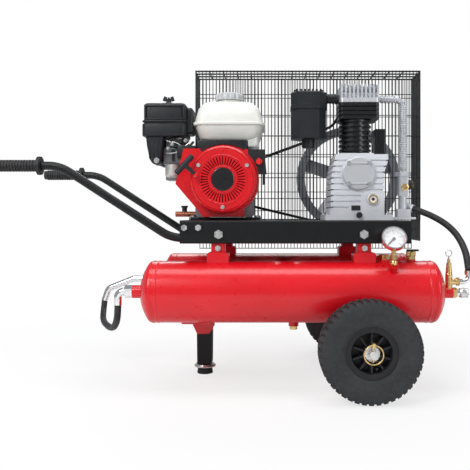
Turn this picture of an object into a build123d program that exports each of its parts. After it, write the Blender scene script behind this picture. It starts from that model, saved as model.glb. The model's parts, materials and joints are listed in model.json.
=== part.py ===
"""Wheelbarrow air compressor: petrol engine, belt-driven pump, two tanks, two wheels and a centre leg.

Millimetres. +X runs from the handle grips to the air outlet, -Y is the side with the recoil starter,
+Z is up. The origin is on the floor, under the middle of the machine.
"""
from build123d import *
import math
import os

# ---------------------------------------------------------------- driving dimensions
RUN_GAP = 0.3                # gap between pieces that move past each other
SHAFT_GAP = 0.05             # radial clearance of a shaft in its bearing
SEAT_GAP = 0.1               # gap where a curved piece sits on another

TANK_LENGTH = 790.0
TANK_R = 80.0
TANK_WALL = 3.0
TANK_DOME = 34.0             # depth of each dished end
TANK_CROWN_R = 130.0         # radius of the middle of each dished end
TANK_MID_X = 157.0
TANK_SPREAD = 170.0          # each tank axis, from the middle of the machine
TANK_Z = 253.0

RAIL_X0 = -133.0
RAIL_X1 = 460.0
RAIL_HEIGHT = 60.0
RAIL_FLANGE = 40.0
RAIL_SHEET = 3.0
RAIL_OUTER_Y = 200.0
RAIL_BOTTOM = 379.0
RAIL_TOP = RAIL_BOTTOM + RAIL_HEIGHT
DECK_SHEET = 3.0

SADDLE_X = (-35.5, 342.5)    # the two pairs of saddles
SADDLE_NECK = 36.0
SADDLE_BASE = 56.0

WHEEL_R = 125.0
TYRE_WIDTH = 80.0
RIM_R = 62.0
WHEEL_MID_Y = 297.0
WHEEL_X = 339.0
AXLE_R = 10.0
AXLE_HALF = 349.0
LYNCH_INSET = 6.0            # pin hole, from the end of the axle
LYNCH_PIN_R = 2.5
LYNCH_HEAD_Z = 20.0          # underside of the pin's head, above the axle's middle
LYNCH_RING_R = 22.5
LYNCH_WIRE_R = 1.5

LEG_X = -87.5
LEG_WIDTH = 44.0
LEG_SHEET = 4.0
FOOT_R = 22.5
FOOT_HEIGHT = 19.0

HANDLE_R = 11.0
HANDLE_WALL = 2.0
HANDLE_Y = 183.0
HANDLE_X_FRONT = 10.0
HANDLE_LOW_BEND_X = -157.0
HANDLE_HIGH_BEND_X = -445.0
HANDLE_TOP_Z = 580.0
HANDLE_BEND_R = 100.0
GRIP_END_X = -613.0
GRIP_LENGTH = 120.0
GRIP_R = 15.5

CRANK_X = -23.5
CRANK_Z = 545.0
ENGINE_FRONT_Y = -95.0       # starter side of the engine block
ENGINE_BACK_Y = 72.0         # drive side of the engine block
SHAFT_R = 12.5
SHROUD_R = 93.0
SHROUD_FRONT_Y = -150.0
RECOIL_R = 90.0
RECOIL_DEPTH = 38.0
FUEL_TOP = 778.0
FUEL_BOTTOM = 665.0

PUMP_X = 341.0
PUMP_Z = 566.0
PUMP_FRONT_Y = -95.0
PUMP_BACK_Y = 65.0
PUMP_MID_Y = -15.0
CYLINDER_R = 46.0
CYLINDER_BORE = 32.5

BELT_Y = 140.0
BELT_WIDTH = 10.0
BELT_THICKNESS = 8.0
PULLEY_R = 53.0
PULLEY_WIDTH = 22.0
FLYWHEEL_R = 158.0
FLYWHEEL_WIDTH = 34.0
GROOVE_DEPTH = 11.0

GUARD_X0 = -126.0
GUARD_X1 = 554.0
GUARD_NEAR_Y = 88.0
GUARD_FAR_Y = 204.0
GUARD_TOP = 890.0
GUARD_FAR_BOTTOM = 346.0
GUARD_WIRE = 2.5
GUARD_PITCH_X = 10.5
GUARD_PITCH_Z = 62.0

OUTLET_Y = -TANK_SPREAD
OUTLET_Z = 250.0
GAUGE_X = 408.0
GAUGE_R = 31.5
GAUGE_TILT = 30.0            # dial leans back by this much
GAUGE_BOSS_LEAN = 40.0       # the gauge boss leans to the front by this much

HOSE_R = 9.0
CORD_RUN_SHARE = 0.45        # share of the shorter run that each bend may use

TANK_X0 = TANK_MID_X - TANK_LENGTH / 2
TANK_X1 = TANK_MID_X + TANK_LENGTH / 2
TANK_TOP = TANK_Z + TANK_R
TANK_BOTTOM = TANK_Z - TANK_R
COUPLER_X = TANK_X1 + 32
AXLE_Z = WHEEL_R
DECK_BOTTOM = RAIL_TOP - DECK_SHEET
INNER_Y = RAIL_OUTER_Y - RAIL_FLANGE
HANDLE_LOW_Z = RAIL_BOTTOM + RAIL_SHEET + HANDLE_R + 0.5

nodes = {}
bolt_holes = []


# ---------------------------------------------------------------- shape helpers
def block(x0, x1, y0, y1, z0, z1, radius=0.0, along=Axis.Z):
    """A box between two corners, with its edges along one axis rounded."""
    solid = Pos((x0 + x1) / 2, (y0 + y1) / 2, (z0 + z1) / 2) * Box(x1 - x0, y1 - y0, z1 - z0)
    return fillet(solid.edges().filter_by(along), radius) if radius else solid


def turned(profile, start, direction):
    """A turned piece: profile lists (distance along the axis, radius)."""
    section = make_face(Polyline(*[(radius, 0, along) for along, radius in profile], close=True))
    return Plane(origin=start, z_dir=direction).location * revolve(section, Axis.Z)


def rod(start, end, radius, bore=0.0):
    """A round bar or tube from one point to another."""
    length = (Vector(*end) - Vector(*start)).length
    direction = Vector(*end) - Vector(*start)
    return turned([(0, bore), (0, radius), (length, radius), (length, bore)], start, direction)


def hexagon(start, end, across):
    """A hexagonal bar from one point to another."""
    direction = Vector(*end) - Vector(*start)
    sketch = RegularPolygon(across / math.sqrt(3), 6)
    return Plane(origin=start, z_dir=direction).location * extrude(sketch, direction.length)


def upright(sketch, y0, y1):
    """Extrude a sketch whose x and y stand for X and Z, from y0 to y1."""
    return Pos(0, y1, 0) * Rot(90, 0, 0) * extrude(sketch, y1 - y0)


def outline(*points, radius=0.0):
    """A closed outline with straight sides and rounded corners."""
    face = make_face(Polyline(*points, close=True))
    return fillet(face.vertices(), radius) if radius else face


def swept_tube(points, radii, outer, bore=0.0):
    """A round tube along straight runs joined by tangent arcs."""
    path = FilletPolyline(*points, radius=radii) if len(points) > 2 else Line(*points)
    ring = Circle(outer) - Circle(bore) if bore else Circle(outer)
    start = Plane(origin=points[0], z_dir=Vector(*points[1]) - Vector(*points[0]))
    return sweep(start.location * ring, path)


def cord_radii(points):
    """The largest bend that each corner of a cord's route allows."""
    corners = [Vector(*point) for point in points]
    radii = []
    for before, here, after in zip(corners, corners[1:], corners[2:]):
        run_in, run_out = here - before, after - here
        half_turn = math.radians(run_in.get_angle(run_out)) / 2
        radii.append(CORD_RUN_SHARE * min(run_in.length, run_out.length) / math.tan(half_turn))
    return radii


def save(name, *pieces):
    """Keep one node, made of one or more separate solids."""
    solids = [solid for piece in pieces for solid in piece.solids()]
    nodes[name] = solids[0] if len(solids) == 1 else Compound(solids)


def bolt(start, direction, head_r, head, length, shank_r):
    """A hexagon bolt: the head outside start, the shank inside it."""
    axis = Vector(*direction).normalized()
    origin = Vector(*start)
    bolt_holes.append((*start, direction, shank_r, length))
    top = hexagon(tuple(origin), tuple(origin + axis * head), head_r * math.sqrt(3))
    return top + rod(tuple(origin - axis * length), tuple(origin), shank_r)


# ---------------------------------------------------------------- tanks and what stands on them
def tank_form(y, grow=0.0):
    """The solid form of a tank, grown or shrunk all round: a cylinder with dished ends."""
    half = TANK_LENGTH / 2
    tangent = half - TANK_DOME
    crown_x = half - TANK_CROWN_R
    knuckle_r = (TANK_CROWN_R ** 2 - (TANK_CROWN_R - TANK_DOME) ** 2 - TANK_R ** 2) / (2 * (TANK_CROWN_R - TANK_R))
    meet = math.atan2(TANK_R - knuckle_r, tangent - crown_x)

    def crown(angle, side):
        return (side * (crown_x + (TANK_CROWN_R + grow) * math.cos(angle)), (TANK_CROWN_R + grow) * math.sin(angle))

    def knuckle(angle, side):
        radius = knuckle_r + grow
        return (side * (tangent + radius * math.cos(angle)), TANK_R - knuckle_r + radius * math.sin(angle))

    middle = (meet + math.pi / 2) / 2
    profile = [Line(crown(0, -1), crown(0, 1)), Line(knuckle(math.pi / 2, -1), knuckle(math.pi / 2, 1))]
    for side in (-1, 1):
        profile.append(ThreePointArc(crown(0, side), crown(meet / 2, side), crown(meet, side)))
        profile.append(ThreePointArc(knuckle(meet, side), knuckle(middle, side), knuckle(math.pi / 2, side)))
    return Pos(TANK_MID_X, y, TANK_Z) * revolve(make_face(profile), Axis.X)


def tank(y):
    """A welded tank, with a raised seam where each dished end joins the barrel."""
    shell = tank_form(y)
    for x in (TANK_X0 + TANK_DOME + 2, TANK_X1 - TANK_DOME - 2):
        shell += rod((x - 2, y, TANK_Z), (x + 2, y, TANK_Z), TANK_R + 0.8)
    return shell - tank_form(y, -TANK_WALL)


def tank_space(y, grow=SEAT_GAP):
    """The tank's barrel, grown by the seat gap, to shape what sits on it."""
    return rod((TANK_X0, y, TANK_Z), (TANK_X1, y, TANK_Z), TANK_R + grow)


def saddle(x, y):
    base = block(x - SADDLE_BASE / 2, x + SADDLE_BASE / 2, y - 25, y + 25, TANK_TOP - 8, TANK_TOP + 23, 6, Axis.Y)
    neck = block(x - SADDLE_NECK / 2, x + SADDLE_NECK / 2, y - 18, y + 18, TANK_TOP + 23, RAIL_BOTTOM, 4, Axis.Z)
    return base + neck - tank_space(y)


def leg_bracket():
    """A strap under both tanks, with two gussets that hold the leg."""
    strap = block(-132, -62, -TANK_SPREAD, TANK_SPREAD, TANK_BOTTOM - 5 - SEAT_GAP, TANK_BOTTOM - SEAT_GAP)
    gusset = outline((-132, strap.bounding_box().min.Z), (-62, strap.bounding_box().min.Z), (-62, 132), (-74, 116),
                     (-108, 116))
    half = LEG_WIDTH / 2 + 0.3
    return strap + upright(gusset, -half - LEG_SHEET, -half) + upright(gusset, half, half + LEG_SHEET)


def build_tanks():
    save("right_tank", tank(-TANK_SPREAD))
    save("left_tank", tank(TANK_SPREAD))
    saddles = [saddle(x, y) for x in SADDLE_X for y in (-TANK_SPREAD, TANK_SPREAD)]
    save("tank_brackets", *saddles, leg_bracket())

    lean = math.radians(GAUGE_BOSS_LEAN)
    out = Vector(0, -math.sin(lean), math.cos(lean))
    axis_point = Vector(GAUGE_X, -TANK_SPREAD, TANK_Z)
    bosses = [
        rod((TANK_X1 - 20, OUTLET_Y, OUTLET_Z), (574, OUTLET_Y, OUTLET_Z), 14),
        rod((TANK_X1 - 20, TANK_SPREAD, OUTLET_Z), (566, TANK_SPREAD, OUTLET_Z), 14),
        rod((TANK_X0 + 20, -TANK_SPREAD, TANK_Z), (TANK_X0 - 21, -TANK_SPREAD, TANK_Z), 17),
        rod((TANK_X0 + 20, TANK_SPREAD, TANK_Z), (TANK_X0 - 21, TANK_SPREAD, TANK_Z), 17),
        rod(tuple(axis_point + out * 70), tuple(axis_point + out * 97), 12),
        rod((396, -TANK_SPREAD, TANK_TOP - 10), (396, -TANK_SPREAD, TANK_TOP + 4), 13),
        rod((466, -TANK_SPREAD, TANK_TOP - 10), (466, -TANK_SPREAD, TANK_TOP + 4), 12),
        rod((160, -TANK_SPREAD, TANK_BOTTOM + 10), (160, -TANK_SPREAD, TANK_BOTTOM - 9), 13),
        rod((160, TANK_SPREAD, TANK_BOTTOM + 10), (160, TANK_SPREAD, TANK_BOTTOM - 9), 13),
    ]
    space = tank_form(-TANK_SPREAD, SEAT_GAP) + tank_form(TANK_SPREAD, SEAT_GAP)
    save("tank_bosses", *[boss - space for boss in bosses])


# ---------------------------------------------------------------- frame, leg, wheels and handles
def rail(side):
    outer_y, inner_y = side * RAIL_OUTER_Y, side * INNER_Y
    low, high = sorted((outer_y, inner_y))
    body = block(RAIL_X0, RAIL_X1, low, high, RAIL_BOTTOM, RAIL_TOP)
    outside = body.edges().filter_by(Axis.X).filter_by_position(Axis.Y, outer_y - 0.1, outer_y + 0.1)
    body = fillet(outside, 6)
    cut_y = sorted((side * (RAIL_OUTER_Y - RAIL_SHEET), side * (INNER_Y - 1)))
    hollow = block(RAIL_X0 - 1, RAIL_X1 + 1, *cut_y, RAIL_BOTTOM + RAIL_SHEET, RAIL_TOP - RAIL_SHEET)
    inside = hollow.edges().filter_by(Axis.X).filter_by_position(
        Axis.Y, side * (RAIL_OUTER_Y - RAIL_SHEET) - 0.1, side * (RAIL_OUTER_Y - RAIL_SHEET) + 0.1)
    return body - fillet(inside, 3)


def cross_member(x0, x1):
    outer = block(x0, x1, -INNER_Y, INNER_Y, RAIL_BOTTOM, DECK_BOTTOM)
    return outer - block(x0 + 3, x1 - 3, -INNER_Y - 1, INNER_Y + 1, RAIL_BOTTOM - 1, DECK_BOTTOM - 3)


def frame_bolts():
    bolts = []
    for side in (-1, 1):
        face = side * RAIL_OUTER_Y
        head_depth = 6 if side < 0 else 2.4
        for x, z, head in ((-121, 420, 8.5), (-85, 420, 8.5), (-33, 403, 12), (339, 403, 12)):
            bolts.append(bolt((x, face, z), (0, side, 0), head, head_depth, 12, 4))
        for x in SADDLE_X:
            bolts.append(bolt((x, side * (TANK_SPREAD + 18), 367), (0, side, 0), 8, 6, 10, 4))
    return bolts


def leg():
    """A pressed channel that narrows to the foot, with a bottom plate."""
    top, bottom = TANK_BOTTOM - 5.3 - SEAT_GAP, 30.0
    side_view = outline((LEG_X - 22, top), (LEG_X + 22, top), (LEG_X + 20.5, bottom), (LEG_X - 20.5, bottom))
    inner_view = outline((LEG_X - 18, top + 1), (LEG_X + 23, top + 1), (LEG_X + 22, bottom + 4),
                         (LEG_X - 16.5, bottom + 4))
    half = LEG_WIDTH / 2
    return upright(side_view, -half, half) - upright(inner_view, -half + LEG_SHEET, half - LEG_SHEET)


def axle_bracket():
    """Two tapered plates under the tanks, tied by a strap, with the axle through them."""
    plates = []
    side_view = outline((239, 200), (439, 200), (372, 105), (306, 105), radius=10)
    for side in (-1, 1):
        y0, y1 = sorted((side * 213, side * 219))
        plate = upright(side_view, y0, y1) - tank_space(side * TANK_SPREAD)
        upper = block(200, 480, y0 - 1, y1 + 1, 190, 260)
        plates.append(plate - upper)
    strap = block(300, 378, -213, 213, TANK_BOTTOM - 6 - SEAT_GAP, TANK_BOTTOM - SEAT_GAP)
    bracket = strap + plates[0] + plates[1]
    return bracket - rod((WHEEL_X, -230, AXLE_Z), (WHEEL_X, 230, AXLE_Z), AXLE_R + SHAFT_GAP)


def wheel(side):
    """Rim with hub, ribs and valve, and the tyre, as turned pieces about the axle."""
    centre = (WHEEL_X, side * WHEEL_MID_Y, AXLE_Z)
    out = (0, side, 0)
    bore = AXLE_R + SHAFT_GAP
    rim = turned([(-30, 50), (-30, RIM_R + 3), (-26, RIM_R + 3), (-22, RIM_R - 4), (22, RIM_R - 4), (26, RIM_R + 3),
                  (30, RIM_R + 3), (30, 50), (27, 48), (4, 46), (4, 22), (28, 20), (28, bore), (-32, bore),
                  (-32, 20), (-2, 22), (-2, 46), (-27, 50)], centre, out)
    ribs = []
    for index in range(10):
        rib = Pos(34, 0, 14) * Box(26, 4, 22)
        ribs.append(Plane(origin=centre, z_dir=out).location * Rot(0, 0, 36 * index) * rib)
    rim = rim.fuse(*ribs)
    valve = Plane(origin=centre, z_dir=out).location * Rot(0, 0, 18) * Pos(40, 0, 4) * Cylinder(
        3, 20, align=(Align.CENTER, Align.CENTER, Align.MIN))
    tyre = turned([(-25.5, RIM_R + 3.2), (-30, RIM_R + 3.2), (-38, 82), (-40, 98), (-36, 113), (-27, 121),
                   (-14, WHEEL_R), (14, WHEEL_R), (27, 121), (36, 113), (40, 98), (38, 82), (30, RIM_R + 3.2),
                   (25.5, RIM_R + 3.2), (21.5, RIM_R - 3.8), (-21.5, RIM_R - 3.8)], centre, out)
    inner = turned([(-20, RIM_R + 4), (-33, 84), (-34, 98), (-30, 110), (-13, 117), (13, 117), (30, 110),
                    (34, 98), (33, 84), (20, RIM_R + 4)], centre, out)
    return rim, valve, tyre - inner


def lynch_pin(side):
    """A pin across the axle's end, and the ring that folds over it."""
    y = side * (AXLE_HALF - LYNCH_INSET)
    ring_y = side * (AXLE_HALF + 2.5)
    pin = rod((WHEEL_X, y, AXLE_Z - 17), (WHEEL_X, y, AXLE_Z + LYNCH_HEAD_Z), LYNCH_PIN_R)
    low_y, high_y = sorted((y - side * 5, ring_y + side * 3.5))
    head = block(WHEEL_X - 4, WHEEL_X + 4, low_y, high_y, AXLE_Z + LYNCH_HEAD_Z, AXLE_Z + LYNCH_HEAD_Z + 9, 1.5)
    pivot_z = AXLE_Z + LYNCH_HEAD_Z + 4.5
    head -= rod((WHEEL_X - 9, ring_y, pivot_z), (WHEEL_X + 9, ring_y, pivot_z), LYNCH_WIRE_R + 0.8)
    ring = Pos(WHEEL_X, ring_y, pivot_z - LYNCH_RING_R) * Rot(90, 0, 0) * Torus(LYNCH_RING_R, LYNCH_WIRE_R)
    return pin + head, ring


def handle(side):
    y = side * HANDLE_Y
    points = [(HANDLE_X_FRONT, y, HANDLE_LOW_Z), (HANDLE_LOW_BEND_X, y, HANDLE_LOW_Z),
              (HANDLE_HIGH_BEND_X, y, HANDLE_TOP_Z), (GRIP_END_X + 4, y, HANDLE_TOP_Z)]
    tube = swept_tube(points, HANDLE_BEND_R, HANDLE_R, HANDLE_R - HANDLE_WALL)
    return tube - rod((-33, y - 20, 403), (-33, y + 20, 403), 4 + SEAT_GAP)


def grip(side):
    """A ribbed rubber grip, closed at its end, with a hand stop at its other end."""
    start = GRIP_END_X + GRIP_LENGTH
    inner = HANDLE_R + SHAFT_GAP
    profile = [(0, inner), (0, 24), (8, 24)]
    ribs, pitch = 14, 7.4
    for index in range(ribs):
        at = 9 + pitch * index
        profile += [(at, GRIP_R - 1.8), (at + 1.5, GRIP_R - 1.8), (at + 2.5, GRIP_R), (at + 5.5, GRIP_R),
                    (at + 6.5, GRIP_R - 1.8)]
    profile += [(GRIP_LENGTH, GRIP_R - 2), (GRIP_LENGTH, 0), (GRIP_LENGTH - 3.5, 0), (GRIP_LENGTH - 3.5, inner)]
    return turned(profile, (start, side * HANDLE_Y, HANDLE_TOP_Z), (-1, 0, 0))


def build_chassis():
    save("side_rails", rail(-1), rail(1))
    members = [cross_member(-133, -95), cross_member(125, 165), cross_member(437, 460)]
    engine_deck = block(RAIL_X0, 115, -INNER_Y, 95, DECK_BOTTOM, RAIL_TOP)
    pump_deck = block(180, RAIL_X1, -INNER_Y, 95, DECK_BOTTOM, RAIL_TOP)
    stays = [block(x, x + 30, -INNER_Y, INNER_Y, RAIL_BOTTOM, RAIL_BOTTOM + 3) for x in (30, 220)]
    save("cross_members_and_decks", *members, engine_deck, pump_deck, *stays)

    save("axle_bracket", axle_bracket())
    axle_bar = rod((WHEEL_X, -AXLE_HALF, AXLE_Z), (WHEEL_X, AXLE_HALF, AXLE_Z), AXLE_R)
    pin_holes = [rod((WHEEL_X, side * (AXLE_HALF - LYNCH_INSET), AXLE_Z - 30),
                     (WHEEL_X, side * (AXLE_HALF - LYNCH_INSET), AXLE_Z + 30), LYNCH_PIN_R + SHAFT_GAP)
                 for side in (-1, 1)]
    save("leg", leg())
    save("rubber_foot", turned([(0, 0), (0, FOOT_R - 1), (1, FOOT_R), (FOOT_HEIGHT - 3, FOOT_R - 2),
                                (FOOT_HEIGHT, FOOT_R - 5), (FOOT_HEIGHT, 0)], (LEG_X, 0, 0), (0, 0, 1)))
    save("handle_tubes", handle(-1), handle(1))
    save("grips", grip(-1), grip(1))
    pins = []
    for name, side in (("right", -1), ("left", 1)):
        rim, valve, tyre = wheel(side)
        save(name + "_wheel_rim", rim, valve)
        save(name + "_tyre", tyre)
        pin, ring = lynch_pin(side)
        save(name + "_lynch_ring", ring)
        pins.append(pin)
    save("axle", axle_bar - pin_holes[0] - pin_holes[1], *pins)


# ---------------------------------------------------------------- air fittings
def build_air_side():
    lean = math.radians(GAUGE_BOSS_LEAN)
    out = Vector(0, -math.sin(lean), math.cos(lean))
    boss_end = Vector(GAUGE_X, -TANK_SPREAD, TANK_Z) + out * 97
    stem_y = boss_end.Y - 5
    tilt = math.radians(GAUGE_TILT)
    face = Vector(0, -math.cos(tilt), math.sin(tilt))
    dial = Vector(GAUGE_X, -243, 395)

    elbow_ball = Pos(GAUGE_X, stem_y, boss_end.Z + 6) * Sphere(9.5)
    elbow_ball -= rod(tuple(boss_end - out * 20), tuple(boss_end), 30)
    stem = rod((GAUGE_X, stem_y, boss_end.Z + 6), (GAUGE_X, stem_y, dial.Z - 2), 6)
    stem_nut = hexagon((GAUGE_X, stem_y, boss_end.Z + 14), (GAUGE_X, stem_y, boss_end.Z + 25), 17)
    case_space = rod(tuple(dial + face * 20), tuple(dial - face * (10 + SEAT_GAP)), GAUGE_R + SEAT_GAP)
    gauge_stem = elbow_ball + stem + stem_nut - case_space

    plug = hexagon((396, OUTLET_Y, TANK_TOP + 4), (396, OUTLET_Y, TANK_TOP + 16), 24)
    tap_x = 466
    tap = hexagon((tap_x, OUTLET_Y, TANK_TOP + 4), (tap_x, OUTLET_Y, TANK_TOP + 12), 20)
    tap += block(tap_x - 11, tap_x + 11, OUTLET_Y - 8, OUTLET_Y + 8, TANK_TOP + 12, TANK_TOP + 25, 4, Axis.X)
    tap += rod((tap_x, OUTLET_Y - 22, TANK_TOP + 18), (tap_x, OUTLET_Y, TANK_TOP + 18), 6)
    tap_stem_hole = rod((tap_x, OUTLET_Y, TANK_TOP + 20), (tap_x, OUTLET_Y, TANK_TOP + 40), 3 + SHAFT_GAP)

    nut = hexagon((COUPLER_X - 10, OUTLET_Y, OUTLET_Z), (COUPLER_X, OUTLET_Y, OUTLET_Z), 24)
    tee_x, tee_z = TANK_X1 + 13, OUTLET_Z + 29
    tee = rod((tee_x, OUTLET_Y, OUTLET_Z + 10), (tee_x, OUTLET_Y, tee_z + 9), 9)
    tee -= rod((tee_x - 25, OUTLET_Y, OUTLET_Z), (tee_x + 15, OUTLET_Y, OUTLET_Z), 14 + SEAT_GAP)
    tee += rod((tee_x, OUTLET_Y, tee_z), (COUPLER_X, OUTLET_Y, tee_z), 8)
    tee += hexagon((COUPLER_X, OUTLET_Y, tee_z), (COUPLER_X + 8, OUTLET_Y, tee_z), 19)
    plug_left = hexagon((TANK_X1 + 14, TANK_SPREAD, OUTLET_Z), (TANK_X1 + 24, TANK_SPREAD, OUTLET_Z), 22)
    drains = [hexagon((160, y, TANK_BOTTOM - 18), (160, y, TANK_BOTTOM - 9), 17) for y in (-TANK_SPREAD, TANK_SPREAD)]
    sight_ring = turned([(0, 10), (0, 13.5), (6, 13.5), (6, 10)], (380, PUMP_FRONT_Y, 496), (0, -1, 0))
    save("brass_fittings", gauge_stem, plug, tap - tap_stem_hole, nut, tee, plug_left, *drains, sight_ring)

    lever = block(tap_x - 11, tap_x + 20, OUTLET_Y - 7, OUTLET_Y + 7, TANK_TOP + 25 + RUN_GAP, TANK_TOP + 30, 3)
    lever += rod((tap_x, OUTLET_Y, TANK_TOP + 21), (tap_x, OUTLET_Y, TANK_TOP + 30), 3)
    save("tap_lever", lever)

    valve = turned([(0, 0), (0, 9), (10, 9), (14, 8), (40, 6), (40, 4), (50, 4), (50, 0)],
                   (tee_x, OUTLET_Y, tee_z + 9), (0, 0, 1))
    save("safety_valve", valve)
    ring_z = tee_z + 9 + 55
    ring = Pos(tee_x, OUTLET_Y, ring_z + 10) * Rot(90, 0, 0) * Torus(8, 1.2)
    save("safety_ring", ring + rod((tee_x, OUTLET_Y, ring_z - 4.7), (tee_x, OUTLET_Y, ring_z + 3), 2))

    coupler = turned([(0, 4), (0, 11), (3, 11), (3, 8.5), (24, 8.5), (24, 4)], (COUPLER_X, OUTLET_Y, OUTLET_Z),
                     (1, 0, 0))
    sleeve = turned([(0, 8.8), (0, 12), (3, 13.5), (9, 13.5), (11, 12.5), (16, 12.5), (18, 13.5), (20, 13.5),
                     (20, 8.8)], (COUPLER_X + 9, OUTLET_Y, OUTLET_Z), (1, 0, 0))
    save("coupler_sleeve", sleeve)

    hose_elbow = swept_tube([(COUPLER_X + 8, OUTLET_Y, tee_z), (617, OUTLET_Y, tee_z), (617, OUTLET_Y, 308)], 15, 7)
    collar = rod((617, OUTLET_Y, 297), (617, OUTLET_Y, 308), 10.5)
    near_pipe = swept_tube([(-279, -TANK_SPREAD, TANK_Z), (-298, -TANK_SPREAD, TANK_Z), (-298, -TANK_SPREAD, 218)],
                           15, 10)
    far_pipe = swept_tube([(-279, TANK_SPREAD, TANK_Z), (-330, TANK_SPREAD, TANK_Z), (-408, TANK_SPREAD, 222),
                           (-421, TANK_SPREAD, 186)], 18, 10)
    hexes = [hexagon((TANK_X0 - 21, y, TANK_Z), (-279, y, TANK_Z), 30) for y in (-TANK_SPREAD, TANK_SPREAD)]
    save("chrome_fittings", coupler, hose_elbow + collar, near_pipe, far_pipe, *hexes)

    balance_route = [(-298, -170, 218), (-299, -168, 198), (-303, -158, 179), (-311, -140, 163), (-322, -115, 151),
                     (-337, -80, 143), (-354, -40, 138), (-371, 2, 136), (-388, 44, 135), (-402, 83, 137),
                     (-412, 116, 142), (-418, 143, 152), (-421, 161, 167), (-421, 170, 186)]
    delivery_route = [(516, 20, 472), (545, 2, 460), (572, -20, 445), (594, -46, 427), (610, -74, 405),
                      (619, -101, 380), (622, -127, 355), (620, -151, 332), (617, -170, 308)]
    for name, route in (("balance_hose", balance_route), ("delivery_hose", delivery_route)):
        radii = cord_radii(route)
        print(name, "bend radii", [round(radius) for radius in radii])
        save(name, swept_tube(route, radii, HOSE_R))
        length = sum((Vector(*b) - Vector(*a)).length for a, b in zip(route, route[1:]))
        print(name, "volume", round(nodes[name].volume), "section times runs",
              round(math.pi * HOSE_R ** 2 * length), "runs", round(length))

    case = rod(tuple(dial + face * 4), tuple(dial - face * 10), GAUGE_R)
    case -= rod(tuple(dial + face * 5), tuple(dial - face * 7), GAUGE_R - 3)
    save("gauge_case", case)
    save("gauge_dial", rod(tuple(dial - face * 7), tuple(dial - face * 6), GAUGE_R - 3 - SEAT_GAP))
    save("gauge_lens", rod(tuple(dial + face * 2), tuple(dial + face * 3.5), GAUGE_R - 3 - SEAT_GAP))
    needle_plane = Plane(origin=tuple(dial - face * 5.5), x_dir=(1, 0, 0), z_dir=tuple(face))
    needle = extrude(outline((-3, -5), (3, -5), (1, 22), (-1, 22)), 1) + extrude(Circle(4), 2)
    save("gauge_needle", needle_plane.location * Rot(0, 0, 135) * needle)


# ---------------------------------------------------------------- pump, belt and guard
def eight_sided(x0, x1, y0, y1, z0, z1, cut):
    """A box with its four upright edges cut off flat."""
    plan = outline((x0 + cut, y0), (x1 - cut, y0), (x1, y0 + cut), (x1, y1 - cut), (x1 - cut, y1), (x0 + cut, y1),
                   (x0, y1 - cut), (x0, y0 + cut))
    return Pos(0, 0, z0) * extrude(plan, z1 - z0)


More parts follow.
